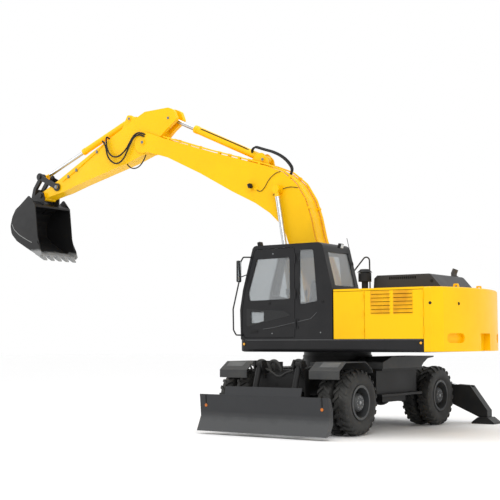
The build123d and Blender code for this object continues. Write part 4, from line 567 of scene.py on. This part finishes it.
# The louvres' painted shade: the yellow enamel darkened to brown-orange.
tone = add(louvre_shade_enamel, "ShaderNodeMix", {"Factor": strength.outputs["Result"]}, data_type="RGBA")
tone.inputs["A"].default_value = from_hex("#FBC300")
tone.inputs["B"].default_value = from_hex("#C87E14")
louvre_shade_enamel.node_tree.links.new(tone.outputs["Result"], shader.inputs["Base Color"])
dull = add(
    louvre_shade_enamel, "ShaderNodeMapRange", {"Value": blotches.outputs["Fac"]}, {"To Min": 0.3, "To Max": 0.5}
)
louvre_shade_enamel.node_tree.links.new(dull.outputs["Result"], shader.inputs["Roughness"])
peel = add(louvre_shade_enamel, "ShaderNodeTexNoise", {"Vector": place}, {"Scale": 50.0})
bump = add(
    louvre_shade_enamel, "ShaderNodeBump", {"Height": peel.outputs["Fac"]}, {"Strength": 0.2, "Distance": 0.003}
)
louvre_shade_enamel.node_tree.links.new(bump.outputs["Normal"], shader.inputs["Normal"])
shader.inputs["Specular IOR Level"].default_value = 0.22
wear_in(nodes["left_rear_door"], louvre_shade_enamel)

for number, (x, z) in enumerate(((-4.851, 2.089), (-5.13, 2.082)), 1):
    plug = button("counterweight", x, z, 0.01, 0.004, 0.024)
    finished(plug, f"counterweight_plug_{number}", "upper", soft_rubber, 0.003)


# ---------------------------------------------------------------- bonnet lid
# Moulded cover over the engine in dark grey glass-fibre gelcoat, hinged along
# its far side, with a round rubber lift grip pressed into its near side. Its
# grey is lighter than the cab's charcoal: painted light falling on its top.
top_lit_grey = sprayed("top_lit_painted_grey", "#2B2B2D", "#3B3B3C", 0.45, 0.02, 0.4)
wear_in(nodes["hood"], top_lit_grey)
grip = button("hood", -4.639, 2.462, 0.006, 0.007, 0.026)
finished(grip, "lid_grip", "hood", soft_rubber, 0.003)


# ---------------------------------------------------------------- cab
# Pressed and tubular cab, charcoal outside, with toughened panes bonded into
# it, a wing mirror on its rail, lamps on its roof and a moulded door pull.
for name in ("cab_shell", "cab_door"):
    wear_in(nodes[name], charcoal_enamel)
# Tempered safety glass: faintly grey, with a bloom of pale dust on it.
safety_glass, shader = new_material("tinted_safety_glass")
place = add(safety_glass, "ShaderNodeTexCoord").outputs["Object"]
haze = add(safety_glass, "ShaderNodeTexNoise", {"Vector": place}, {"Scale": 4.0, "Detail": 6.0})
dull = add(
    safety_glass, "ShaderNodeMapRange", {"Value": haze.outputs["Fac"]}, {"To Min": 0.0, "To Max": 0.06}
)
safety_glass.node_tree.links.new(dull.outputs["Result"], shader.inputs["Roughness"])
shader.inputs["Base Color"].default_value = from_hex("#D6DADC")
shader.inputs["Transmission Weight"].default_value = 0.8
shader.inputs["IOR"].default_value = 1.45
for name in ("cab_glass", "door_glass"):
    wear_in(nodes[name], safety_glass)

# The door's lower pane is bonded on from outside, and is nearly black.
privacy_glass = sprayed("dark_bonded_glass", "#0B0C0E", "#151617", 0.12, 0.2, 0.5)
door_y = side_spot("cab_door", -2.30, 1.75).y
LOWER_PANE = (
    (-1.413, 2.061), (-1.412, 1.760), (-1.463, 1.757), (-2.277, 1.927), (-2.305, 1.944), (-2.180, 2.011),
)


def flat_panel(outline, y, thick):
    """A flat plate parallel to the machine's side, from its outline in x and z."""
    bpy.ops.object.select_all(action="DESELECT")
    bpy.ops.mesh.primitive_circle_add(vertices=len(outline), fill_type="NGON")
    plate = bpy.context.object
    for vertex, (x, z) in zip(plate.data.vertices, outline):
        vertex.co = (x, y, z)
    bpy.ops.object.mode_set(mode="EDIT")
    bpy.ops.mesh.select_all(action="SELECT")
    bpy.ops.mesh.extrude_region_move(TRANSFORM_OT_translate={"value": (0, thick, 0)})
    bpy.ops.mesh.select_all(action="SELECT")
    bpy.ops.mesh.normals_make_consistent(inside=False)
    bpy.ops.object.mode_set(mode="OBJECT")
    return plate


pane = flat_panel(LOWER_PANE, door_y - 0.001, 0.005)
sight = cube_between((-1.770, door_y - 0.05, 1.815), (-1.500, door_y + 0.05, 2.005))
opening = pane.modifiers.new("sight", "BOOLEAN")
opening.operation = "DIFFERENCE"
opening.object = sight
joined(pane)
bpy.ops.object.modifier_apply(modifier="sight")
bpy.data.objects.remove(sight)
finished(pane, "door_lower_pane", "cab_door", privacy_glass)



def ribs_along(node, line, radius, side=1):
    """Round bars laid end to end along a line of x and z on a node's side."""
    spots = [side_spot(node, x, z, side) for x, z in line]
    return [rod_between(start, end, radius, 12) for start, end in zip(spots, spots[1:])]


# A pressed swage runs up across the door and on over the cab's side. Its
# rods are the lighter grey of a painted highlight along the crease.
SWAGE = ((-1.753, 1.709), (-1.981, 1.736), (-2.395, 1.815), (-2.440, 1.824), (-2.702, 1.874), (-2.818, 1.977))
for name, node, body, line in (
    ("door_swage", "cab_door", "cab_door", SWAGE[:3]),
    ("cab_side_swage", "cab_shell", "upper", SWAGE[3:]),
):
    finished(joined(*ribs_along(node, line, 0.006)), name, body, highlight_grey)

# Zinc screw heads hold the trim of the door and the cab's side.
for name, node, body, x, z in (
    ("door_screw", "cab_door", "cab_door", -1.935, 1.634),
    ("door_top_screw", "cab_door", "cab_door", -1.960, 2.985),
    ("cab_side_screw", "cab_shell", "upper", -2.886, 1.644),
):
    finished(button(node, x, z, 0.003, 0.005, 0.011, 16), name, body, zinc_plate, 0.002)

# Door pull and lock cup, moulded in black plastic.
for name, node, body, x, z, wide, tall in (
    ("door_foot_pull", "cab_door", "cab_door", -1.568, 1.675, 0.165, 0.07),
    ("door_lock_cup", "cab_door", "cab_door", -1.884, 2.148, 0.05, 0.05),
    ("cab_catch", "cab_shell", "upper", -2.931, 2.159, 0.06, 0.06),
):
    y = side_spot(node, x, z).y
    cup = cube_between((x - wide / 2, y - 0.003, z - tall / 2), (x + wide / 2, y + 0.006, z + tall / 2))
    lip = cube_between((x - wide / 2.6, y, z - tall / 6), (x + wide / 2.6, y + 0.014, z + tall / 4))
    finished(joined(cup, lip), name, body, black_plastic, 0.005, 3)

# Silvered float glass of the wing mirror: a clean, sharp reflection.
mirror_glass, shader = new_material("silvered_mirror")
place = add(mirror_glass, "ShaderNodeTexCoord").outputs["Object"]
smears = add(mirror_glass, "ShaderNodeTexNoise", {"Vector": place}, {"Scale": 9.0, "Detail": 4.0})
dull = add(
    mirror_glass, "ShaderNodeMapRange", {"Value": smears.outputs["Fac"]}, {"To Min": 0.0, "To Max": 0.08}
)
mirror_glass.node_tree.links.new(dull.outputs["Result"], shader.inputs["Roughness"])
shader.inputs["Base Color"].default_value = from_hex("#D8DCDE")
shader.inputs["Metallic"].default_value = 1.0
silver = cube_between((-1.369, 1.386, 2.526), (-1.3655, 1.482, 2.878))
finished(silver, "mirror_face", "upper", mirror_glass, 0.001)

# Pressed glass lamp covers: pale, bright, fluted.
lamp_cover = sprayed("fluted_lamp_glass", "#C9CED0", "#B4B8BA", 0.12, 0.004, 0.6)


def work_lamp(name, body, spot, facing, size):
    """A square flood lamp: black shell and ribbed clear cover."""
    spot, facing = Vector(spot), Vector(facing).normalized()
    turn = facing.to_track_quat("Z", "Y").to_matrix().to_4x4()
    shell = cube_between((-size, -size * 0.8, -size * 0.7), (size, size * 0.8, size * 0.5))
    shell.data.transform(Matrix.Translation(spot) @ turn)
    finished(shell, f"{name}_shell", body, black_plastic, size * 0.18, 3)
    cover = cube_between((-size * 0.84, -size * 0.64, size * 0.42), (size * 0.84, size * 0.64, size * 0.56))
    cover.data.transform(Matrix.Translation(spot) @ turn)
    finished(cover, f"{name}_cover", body, lamp_cover, size * 0.05, 2)


work_lamp("front_roof_lamp", "upper", (-1.535, 1.049, 3.185), (1, 0, -0.25), 0.05)
work_lamp("rear_roof_lamp", "upper", (-3.150, 1.049, 3.075), (-1, 0, -0.25), 0.05)

# The radio whip stands on the cab's rear corner post: black-coated steel wire.
low = touch("cab_shell", (-6.0, 0.42, 2.82), (1, 0, 0))
high = touch("cab_shell", (-6.0, 0.42, 3.02), (1, 0, 0))
rise = (high - low).normalized()
whip_foot = low + Vector((-0.02, 0, 0))
whip = rod_between(whip_foot, whip_foot + rise * 0.46, 0.005, 12)
socket = rod_between(whip_foot - rise * 0.03, whip_foot + rise * 0.03, 0.012, 16)
stud = rod_between(low + Vector((0.004, 0, 0)), whip_foot, 0.008, 12)
finished(joined(whip, socket, stud), "radio_whip", "upper", black_plastic)


# ---------------------------------------------------------------- seat and controls
# A suspension seat upholstered in black woven cloth over moulded foam, on a
# steel plinth, with arm consoles; the steering column stands in front of it.
# Woven polyester seat cloth: near black, matt, with the weave showing as fine
# paler specks and a soft sheen at its edges.
woven_cloth, shader = new_material("black_woven_cloth")
place = add(woven_cloth, "ShaderNodeTexCoord").outputs["Object"]
shader.inputs["Roughness"].default_value = 0.95
shader.inputs["Sheen Weight"].default_value = 0.3
threads = add(woven_cloth, "ShaderNodeTexVoronoi", {"Vector": place}, {"Scale": 420.0})
tone = add(woven_cloth, "ShaderNodeValToRGB", {"Fac": threads.outputs["Distance"]})
tone.color_ramp.elements[0].color = from_hex("#2A2A2C")
tone.color_ramp.elements[1].color = from_hex("#161617")
woven_cloth.node_tree.links.new(tone.outputs["Color"], shader.inputs["Base Color"])
bump = add(
    woven_cloth, "ShaderNodeBump", {"Height": threads.outputs["Distance"]},
    {"Strength": 0.4, "Distance": 0.001},
)
woven_cloth.node_tree.links.new(bump.outputs["Normal"], shader.inputs["Normal"])


SWELL = 0.018  # how far a point of a pad may move as it is blown up


def stuffed(low, high, name, tilt=0.0):
    """A foam pad blown up inside its cover: remeshed, inflated, then smoothed."""
    pad = cube_between(low, high)
    middle = (Vector(low) + Vector(high)) / 2
    pad.data.transform(
        Matrix.Translation(middle) @ Matrix.Rotation(tilt, 4, "Y") @ Matrix.Translation(-middle)
    )
    rounding = pad.modifiers.new("corners", "BEVEL")
    rounding.width = 0.02
    rounding.segments = 3
    bpy.ops.object.modifier_apply(modifier="corners")
    voxels = pad.modifiers.new("voxels", "REMESH")
    voxels.mode = "VOXEL"
    voxels.voxel_size = 0.006
    bpy.ops.object.modifier_apply(modifier="voxels")
    start = [vertex.co.copy() for vertex in pad.data.vertices]
    stuffing = pad.modifiers.new("stuffing", "CLOTH")
    stuffing.settings.use_pressure = True
    stuffing.settings.uniform_pressure_force = 4.0
    stuffing.settings.effector_weights.gravity = 0.0
    for number in range(1, 21):
        scene.frame_set(number)
    bpy.ops.object.modifier_apply(modifier="stuffing")
    scene.frame_set(1)
    for vertex, before in zip(pad.data.vertices, start):
        move = vertex.co - before
        if move.length > SWELL:
            vertex.co = before + move.normalized() * SWELL
    finished(pad, name, "upper", woven_cloth)
    return pad


cushion = stuffed((-2.500, 0.615, 1.985), (-2.085, 1.040, 2.075), "seat_cushion")
backrest = stuffed((-2.610, 0.630, 2.130), (-2.520, 1.025, 2.530), "seat_backrest", math.radians(-8))
headrest = stuffed((-2.655, 0.720, 2.585), (-2.595, 0.935, 2.685), "seat_headrest", math.radians(-6))
plinth = cube_between((-2.48, 0.66, 1.586), (-2.12, 1.0, 1.80))
bellows = cube_between((-2.44, 0.70, 1.79), (-2.16, 0.96, 1.93))
pan = cube_between((-2.53, 0.62, 1.92), (-2.10, 1.035, 1.965))
spine = cube_between((-2.640, 0.70, 1.95), (-2.620, 0.955, 2.50))
posts = [rod_between((-2.63, y, 2.48), (-2.625, y, 2.62), 0.007, 12) for y in (0.775, 0.88)]
seat_frame = joined(plinth, bellows, pan, spine, *posts)
finished(seat_frame, "seat_frame", "upper", black_plastic, 0.006)
consoles = []
for low_y, high_y in ((0.47, 0.575), (1.085, 1.185)):
    consoles.append(cube_between((-2.56, low_y, 2.03), (-2.12, high_y, 2.16)))
    across = (low_y + high_y) / 2
    consoles.append(rod_between((-2.17, across, 2.155), (-2.15, across, 2.30), 0.012, 16))
    consoles.append(cube_between((-2.175, across - 0.022, 2.29), (-2.125, across + 0.022, 2.39)))
    consoles.append(cube_between((-2.50, low_y + 0.03, 1.95), (-2.42, high_y - 0.03, 2.04)))
console_set = finished(joined(*consoles), "arm_consoles", "upper", black_plastic, 0.008)
WHEEL_MIDDLE = Vector((-1.815, 0.828, 2.245))
RAKE = math.radians(-15)
column = rod_between((-1.64, 0.828, 1.586), (-1.80, 0.828, 2.20), 0.032, 24)
boss = rod_between((-1.79, 0.828, 2.17), (-1.815, 0.828, 2.255), 0.045, 24)
bpy.ops.object.select_all(action="DESELECT")
bpy.ops.mesh.primitive_torus_add(
    major_radius=0.185, minor_radius=0.013, major_segments=48, minor_segments=12,
    location=WHEEL_MIDDLE, rotation=(0, RAKE, 0),
)
wheel_rim = bpy.context.object
bpy.ops.object.transform_apply(location=True, rotation=True, scale=True)
spokes = []
for number in range(3):
    angle = math.tau * number / 3
    reach = Vector((math.cos(angle) * 0.18, math.sin(angle) * 0.18, 0))
    reach.rotate(Matrix.Rotation(RAKE, 3, "Y"))
    spokes.append(rod_between(WHEEL_MIDDLE, WHEEL_MIDDLE + reach, 0.009, 12))
steering = finished(joined(column, boss, wheel_rim, *spokes), "steering_wheel", "upper", black_plastic)
for piece in (seat_frame, console_set, steering, cushion, backrest, headrest):
    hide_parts("cab_seat")


# ---------------------------------------------------------------- boom and arm
# Welded box-section boom and arm in the same yellow enamel, with their steel
# oil pipes clamped along them; pins of hardened steel show at each knuckle.
for name in ("boom", "arm", "boom_pipes", "arm_cylinder_barrel", "bucket_cylinder_barrel",
             "boom_cylinder_barrels"):
    wear_in(nodes[name], yellow_enamel)
# Hardened pins: bare ground steel, filmed with grease.
pin_steel = sprayed("greased_pin_steel", "#7C7E80", "#4A4640", 0.35, 0.004, 0.5)
# name, node it's on, body, x, z and radius of the cap that shows
PINS = (
    ("boom_tip_pin", "boom", "boom", 1.853, 5.484, 0.030),
    ("arm_ram_pin", "arm", "arm", 1.240, 5.913, 0.026),
    ("bucket_ram_pin", "arm", "arm", 2.297, 6.032, 0.026),
    ("boom_ram_pin", "boom", "boom", -0.980, 4.873, 0.026),
)
for name, node, body, x, z, radius in PINS:
    caps = []
    for side in (1, -1):
        spot = side_spot(node, x, z, side)
        inner, outer = spot - Vector((0, side * 0.004, 0)), spot + Vector((0, side * 0.012, 0))
        caps.append(rod_between(inner, outer, radius, 32))
        caps.append(rod_between(spot, spot + Vector((0, side * 0.020, 0)), radius * 0.35, 6))
    finished(joined(*caps), name, body, pin_steel, 0.002)

# Chromed rods whose forged eyes are painted yellow after assembly.
# node, the eye's x and z, and how far the paint reaches from its middle
ROD_EYES = (
    ("boom_cylinder_rods", -1.398, 4.244, 0.125),
    ("arm_cylinder_rod", 1.240, 5.900, 0.125),
    ("bucket_cylinder_rod", 4.726, 5.061, 0.120),
)
for name, x, z, reach in ROD_EYES:
    chrome_and_paint, shader = new_material(f"chrome_and_paint_{name}")
    links = chrome_and_paint.node_tree.links
    place = add(chrome_and_paint, "ShaderNodeTexCoord").outputs["Object"]
    parts = add(chrome_and_paint, "ShaderNodeSeparateXYZ", {"Vector": place})
    flat = add(chrome_and_paint, "ShaderNodeCombineXYZ", {axis: parts.outputs[axis] for axis in "XZ"})
    away = add(chrome_and_paint, "ShaderNodeVectorMath", {0: flat.outputs["Vector"]}, operation="DISTANCE")
    away.inputs[1].default_value = (x, 0.0, z)
    bare = add(
        chrome_and_paint, "ShaderNodeMapRange", {"Value": away.outputs["Value"]},
        {"From Min": reach - 0.003, "From Max": reach + 0.003},
    )
    tone = add(chrome_and_paint, "ShaderNodeMix", {"Factor": bare.outputs["Result"]}, data_type="RGBA")
    tone.inputs["A"].default_value = from_hex("#FBC300")
    tone.inputs["B"].default_value = from_hex("#C8CACC")
    links.new(tone.outputs["Result"], shader.inputs["Base Color"])
    links.new(bare.outputs["Result"], shader.inputs["Metallic"])
    smears = add(chrome_and_paint, "ShaderNodeTexNoise", {"Vector": place}, {"Scale": 12.0, "Detail": 5.0})
    dull = add(
        chrome_and_paint, "ShaderNodeMapRange", {"Value": smears.outputs["Fac"]},
        {"To Min": 0.12, "To Max": 0.3},
    )
    links.new(dull.outputs["Result"], shader.inputs["Roughness"])
    shader.inputs["Specular IOR Level"].default_value = 0.3
    wear_in(nodes[name], chrome_and_paint)

# The flood lamp on the boom's left side, on a folded bracket.
boom_y = side_spot("boom", -0.90, 4.33).y
bracket = cube_between((-0.935, boom_y - 0.002, 4.285), (-0.80, boom_y + 0.006, 4.345))
shelf = cube_between((-0.835, boom_y, 4.30), (-0.765, boom_y + 0.075, 4.312))
finished(joined(bracket, shelf), "boom_lamp_bracket", "boom", yellow_enamel, 0.002)
work_lamp("boom_lamp", "boom", (-0.775, boom_y + 0.05, 4.375), (0.9, 0, -0.35), 0.048)


# ---------------------------------------------------------------- bucket and its linkage
# Welded digging bucket in charcoal paint, worn through to bare steel at its
# teeth, lip and the rubbing strips of its sides.
for name in ("rocker", "link"):
    wear_in(nodes[name], charcoal_enamel)
bucket_paint, shader = new_material("worn_bucket_paint")
place = add(bucket_paint, "ShaderNodeTexCoord").outputs["Object"]
height = add(bucket_paint, "ShaderNodeSeparateXYZ", {"Vector": place}).outputs["Z"]
scrapes = add(
    bucket_paint, "ShaderNodeTexNoise", {"Vector": place}, {"Scale": 7.0, "Detail": 9.0, "Roughness": 0.7}
)
band = add(bucket_paint, "ShaderNodeMapRange", {"Value": height},
           {"From Min": 3.52, "From Max": 3.30, "To Min": -0.35, "To Max": 0.75})
worn = add(
    bucket_paint, "ShaderNodeMath", {0: band.outputs["Result"], 1: scrapes.outputs["Fac"]},
    operation="ADD", use_clamp=True,
)
worn_step = add(bucket_paint, "ShaderNodeMapRange", {"Value": worn.outputs["Value"]},
                {"From Min": 0.55, "From Max": 0.85})
tone = add(bucket_paint, "ShaderNodeMix", data_type="RGBA")
tone.inputs["A"].default_value = from_hex("#1A1A1B")
tone.inputs["B"].default_value = from_hex("#8C8D8D")
bucket_paint.node_tree.links.new(worn_step.outputs["Result"], tone.inputs["Factor"])
bucket_paint.node_tree.links.new(tone.outputs["Result"], shader.inputs["Base Color"])
dull = add(
    bucket_paint, "ShaderNodeMapRange", {"Value": scrapes.outputs["Fac"]}, {"To Min": 0.35, "To Max": 0.65}
)
bucket_paint.node_tree.links.new(dull.outputs["Result"], shader.inputs["Roughness"])
grain = add(bucket_paint, "ShaderNodeTexNoise", {"Vector": place}, {"Scale": 80.0})
bump = add(
    bucket_paint, "ShaderNodeBump", {"Height": grain.outputs["Fac"]}, {"Strength": 0.3, "Distance": 0.002}
)
bucket_paint.node_tree.links.new(bump.outputs["Normal"], shader.inputs["Normal"])
shader.inputs["Specular IOR Level"].default_value = 0.3
wear_in(nodes["bucket"], bucket_paint)

# Round-bar wear strips are welded along the sides, parallel to the heel.
# Rubbed mild steel: mid grey, half shiny, streaked with dull oxide.
rubbed_steel = sprayed("rubbed_mild_steel", "#8A8B8B", "#5F5B54", 0.42, 0.005, 0.5)
HEEL_LINE = ((5.205, 4.009), (5.130, 3.890), (4.985, 3.777), (4.788, 3.675), (4.600, 3.590))
for side, word in ((1, "left"), (-1, "right")):
    bars = ribs_along("bucket", HEEL_LINE, 0.008, side)
    finished(joined(*bars), f"bucket_wear_bar_{word}", "bucket", rubbed_steel)

# Greased pin ends of the linkage, seen in the middle of each boss.
LINKAGE_PINS = (("rocker_pin", "rocker", 4.233, 4.777), ("link_pin", "link", 5.009, 4.492))
for name, node, x, z in LINKAGE_PINS:
    low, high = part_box(node)
    ends = [
        rod_between((x, edge - side * 0.03, z), (x, edge + side * 0.008, z), 0.036, 28)
        for side, edge in ((1, high[1]), (-1, low[1]))
    ]
    finished(joined(*ends), name, node, pin_steel, 0.003)


# ---------------------------------------------------------------- hoses
# Wire-braided rubber hoses with crimped steel ends. Each hangs or arches
# between two fixed points; those at the boom's tip are left as fixed meshes.
# Nitrile hose covers: black and dull on the boom, greyed by road dust below.
hose_rubber = sprayed("braided_hose_rubber", "#141414", "#262625", 0.6, 0.004, 0.35)
dusty_hose = sprayed("dusty_hose_rubber", "#2E2E2E", "#55544F", 0.65, 0.004, 0.35)


def hose(name, body, points, diameter, start_on, end_on, crosses=None, rubber=hose_rubber):
    """A hose along a smooth line near the points, from one node to another.
    crosses names two jointed bodies that it passes between, and two points;
    only whether it is given is used, and then the hose is left as a mesh on no body."""
    points = [Vector(point) for point in points]
    for end, node in ((0, start_on), (-1, end_on)):
        found, spot, _, _ = nodes[node].closest_point_on_mesh(points[end])
        if found and (spot - points[end]).length > diameter * 0.6:
            points.insert(0 if end == 0 else len(points), spot)
    route = bpy.data.curves.new(name, "CURVE")
    route.dimensions = "3D"
    spline = route.splines.new("NURBS")
    spline.points.add(len(points) - 1)
    for knot, point in zip(spline.points, points):
        knot.co = (*point, 1.0)
    spline.order_u = 3
    spline.use_endpoint_u = True
    spline.resolution_u = 10
    tube = bpy.data.objects.new(name, route)
    scene.collection.objects.link(tube)
    bpy.context.view_layer.update()
    line = bpy.data.meshes.new_from_object(tube)
    bpy.data.meshes.remove(line)
    route.bevel_depth = diameter / 2
    route.bevel_resolution = 5
    route.use_fill_caps = True
    tube.data.materials.append(rubber)
    if crosses:
        bpy.ops.object.select_all(action="DESELECT")
        tube.select_set(True)
        bpy.context.view_layer.objects.active = tube
        bpy.ops.object.convert(target="MESH")
        bpy.ops.object.shade_smooth()
        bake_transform(tube)
    else:
        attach(tube, body)


# Hoses at the tip of the boom: name, y, diameter and their points in x and z.
TIP_HOSES = (
    ("tip_hose_upper", 0.224, 0.032, (
        (1.800, 5.640), (1.880, 5.672), (1.968, 5.690), (2.080, 5.640), (2.168, 5.520), (2.240, 5.415),
        (2.336, 5.327), (2.455, 5.258), (2.592, 5.250), (2.712, 5.320), (2.780, 5.430), (2.808, 5.580),
        (2.812, 5.660), (2.795, 5.700))),
    ("tip_hose_lower", 0.226, 0.032, (
        (1.820, 5.600), (1.900, 5.635), (1.990, 5.645), (2.085, 5.590), (2.160, 5.480), (2.240, 5.350),
        (2.318, 5.208), (2.436, 5.122), (2.556, 5.110), (2.678, 5.180), (2.757, 5.270), (2.790, 5.360),
        (2.820, 5.495), (2.870, 5.580), (2.935, 5.634))),
    ("tip_hose_thin", 0.090, 0.024, (
        (1.850, 5.300), (1.870, 5.215), (1.950, 5.095), (2.045, 5.015), (2.160, 4.992), (2.265, 5.020),
        (2.350, 5.090), (2.400, 5.200))),
)
for name, y, diameter, line in TIP_HOSES:
    hose(name, "boom", [(x, y, z) for x, z in line], diameter, "boom", "arm",
         ("boom", "arm", (1.98, y, 5.55), (2.62, y, 5.25)))

# Hoses over the arm ram's foot, from the ram's barrel to the boom's back.
for name, y, lift in (("boom_back_hose_outer", 0.120, 0.0), ("boom_back_hose_inner", 0.075, 0.02)):
    line = [(x, y, z + lift) for x, z in (
        (-0.720, 5.060), (-0.790, 5.125), (-0.900, 5.085), (-1.040, 5.035), (-1.199, 4.985),
        (-1.398, 4.880), (-1.534, 4.760), (-1.640, 4.600))]
    hose(name, "boom", line, 0.034, "arm_cylinder_barrel", "boom",
         ("arm_barrel", "boom", line[1], line[4]))

# A steel pipe runs on down the arm's left side under three bolted clamps.
arm_side = side_spot("arm", 3.70, 5.00).y
pipe_line = ((2.935, 5.560), (3.113, 5.428), (3.684, 5.098), (3.912, 4.980), (4.080, 4.890))
pipe = [
    rod_between((x, arm_side + 0.014, z), (next_x, arm_side + 0.014, next_z), 0.009, 16)
    for (x, z), (next_x, next_z) in zip(pipe_line, pipe_line[1:])
]
finished(joined(*pipe), "arm_side_pipe", "arm", yellow_enamel)
clamps = []
for x, z in pipe_line[1:4]:
    low, high = (x - 0.022, arm_side - 0.002, z - 0.035), (x + 0.022, arm_side + 0.027, z + 0.030)
    clamps.append(cube_between(low, high))
    clamps.append(rod_between((x, arm_side, z - 0.022), (x, arm_side + 0.034, z - 0.022), 0.008, 6))
finished(joined(*clamps), "arm_pipe_clamps", "arm", pin_steel, 0.003)

# The ram's own hose lies along its barrel, a little above its left side.
ram_foot, ram_eye = Vector((-0.980, 0, 4.873)), Vector((1.240, 0, 5.900))
along_ram = (ram_eye - ram_foot).normalized()
above_ram = Vector((-along_ram.z, 0, along_ram.x))
barrel_radius = touch("arm_cylinder_barrel", ram_foot + along_ram * 1.2 + Vector((0, 3, 0)), (0, -1, 0)).y
line = []
for distance, clear in ((0.42, -0.004), (0.47, 0.010), (0.56, 0.013), (1.10, 0.013), (1.55, 0.013),
                        (1.64, 0.010), (1.69, -0.004)):
    out = (barrel_radius + clear) * math.sqrt(0.5)
    line.append(ram_foot + along_ram * distance + above_ram * out + Vector((0, out, 0)))
hose("arm_ram_hose", "arm_barrel", line, 0.020, "arm_cylinder_barrel", "arm_cylinder_barrel")

# Lamp cables clipped to the boom's left side.
CABLES = (
    ("lamp_cable", (
        (-0.900, 4.300), (-0.950, 4.262), (-1.016, 4.263), (-1.086, 4.336), (-1.122, 4.398),
        (-1.188, 4.483), (-1.311, 4.570), (-1.418, 4.592))),
    ("lower_cable", ((-1.255, 4.169), (-1.401, 4.245), (-1.598, 4.299), (-1.792, 4.264))),
)
for name, line in CABLES:
    hose(name, "boom", [(x, 0.209, z) for x, z in line], 0.012, "boom", "boom")

# Hoses between the mudguards: along, diameter, ends, points across and up.
CHASSIS_HOSES = (
    ("chassis_hose_upper", 1.75, 0.034, "fenders", "fenders", (
        (-0.612, 1.125), (-0.520, 1.100), (-0.439, 1.081), (-0.308, 1.060), (-0.178, 1.009),
        (-0.087, 0.935), (0.000, 0.935), (0.080, 0.985), (0.187, 1.025), (0.313, 1.031),
        (0.450, 1.060), (0.612, 1.100))),
    ("chassis_hose_lower", 1.70, 0.034, "fenders", "chassis_frame", (
        (-0.612, 1.018), (-0.530, 1.018), (-0.458, 1.013), (-0.340, 0.990), (-0.250, 0.950),
        (-0.150, 0.880), (-0.080, 0.800))),
    ("valve_hose_right", 1.60, 0.055, "chassis_frame", "chassis_frame", (
        (-0.560, 1.000), (-0.600, 1.090), (-0.560, 1.175), (-0.470, 1.190), (-0.390, 1.150),
        (-0.330, 1.060))),
    ("valve_hose_middle", 1.56, 0.055, "chassis_frame", "chassis_frame", (
        (-0.330, 1.000), (-0.370, 1.090), (-0.330, 1.175), (-0.240, 1.185), (-0.170, 1.130),
        (-0.130, 1.040))),
    ("valve_hose_left", 1.60, 0.055, "chassis_frame", "chassis_frame", (
        (0.160, 1.000), (0.140, 1.100), (0.190, 1.190), (0.290, 1.195), (0.370, 1.130),
        (0.400, 1.030))),
)
for name, along, diameter, start_on, end_on, line in CHASSIS_HOSES:
    points = [under(along, across, z) for across, z in line]
    hose(name, "undercarriage", points, diameter, start_on, end_on, rubber=dusty_hose)
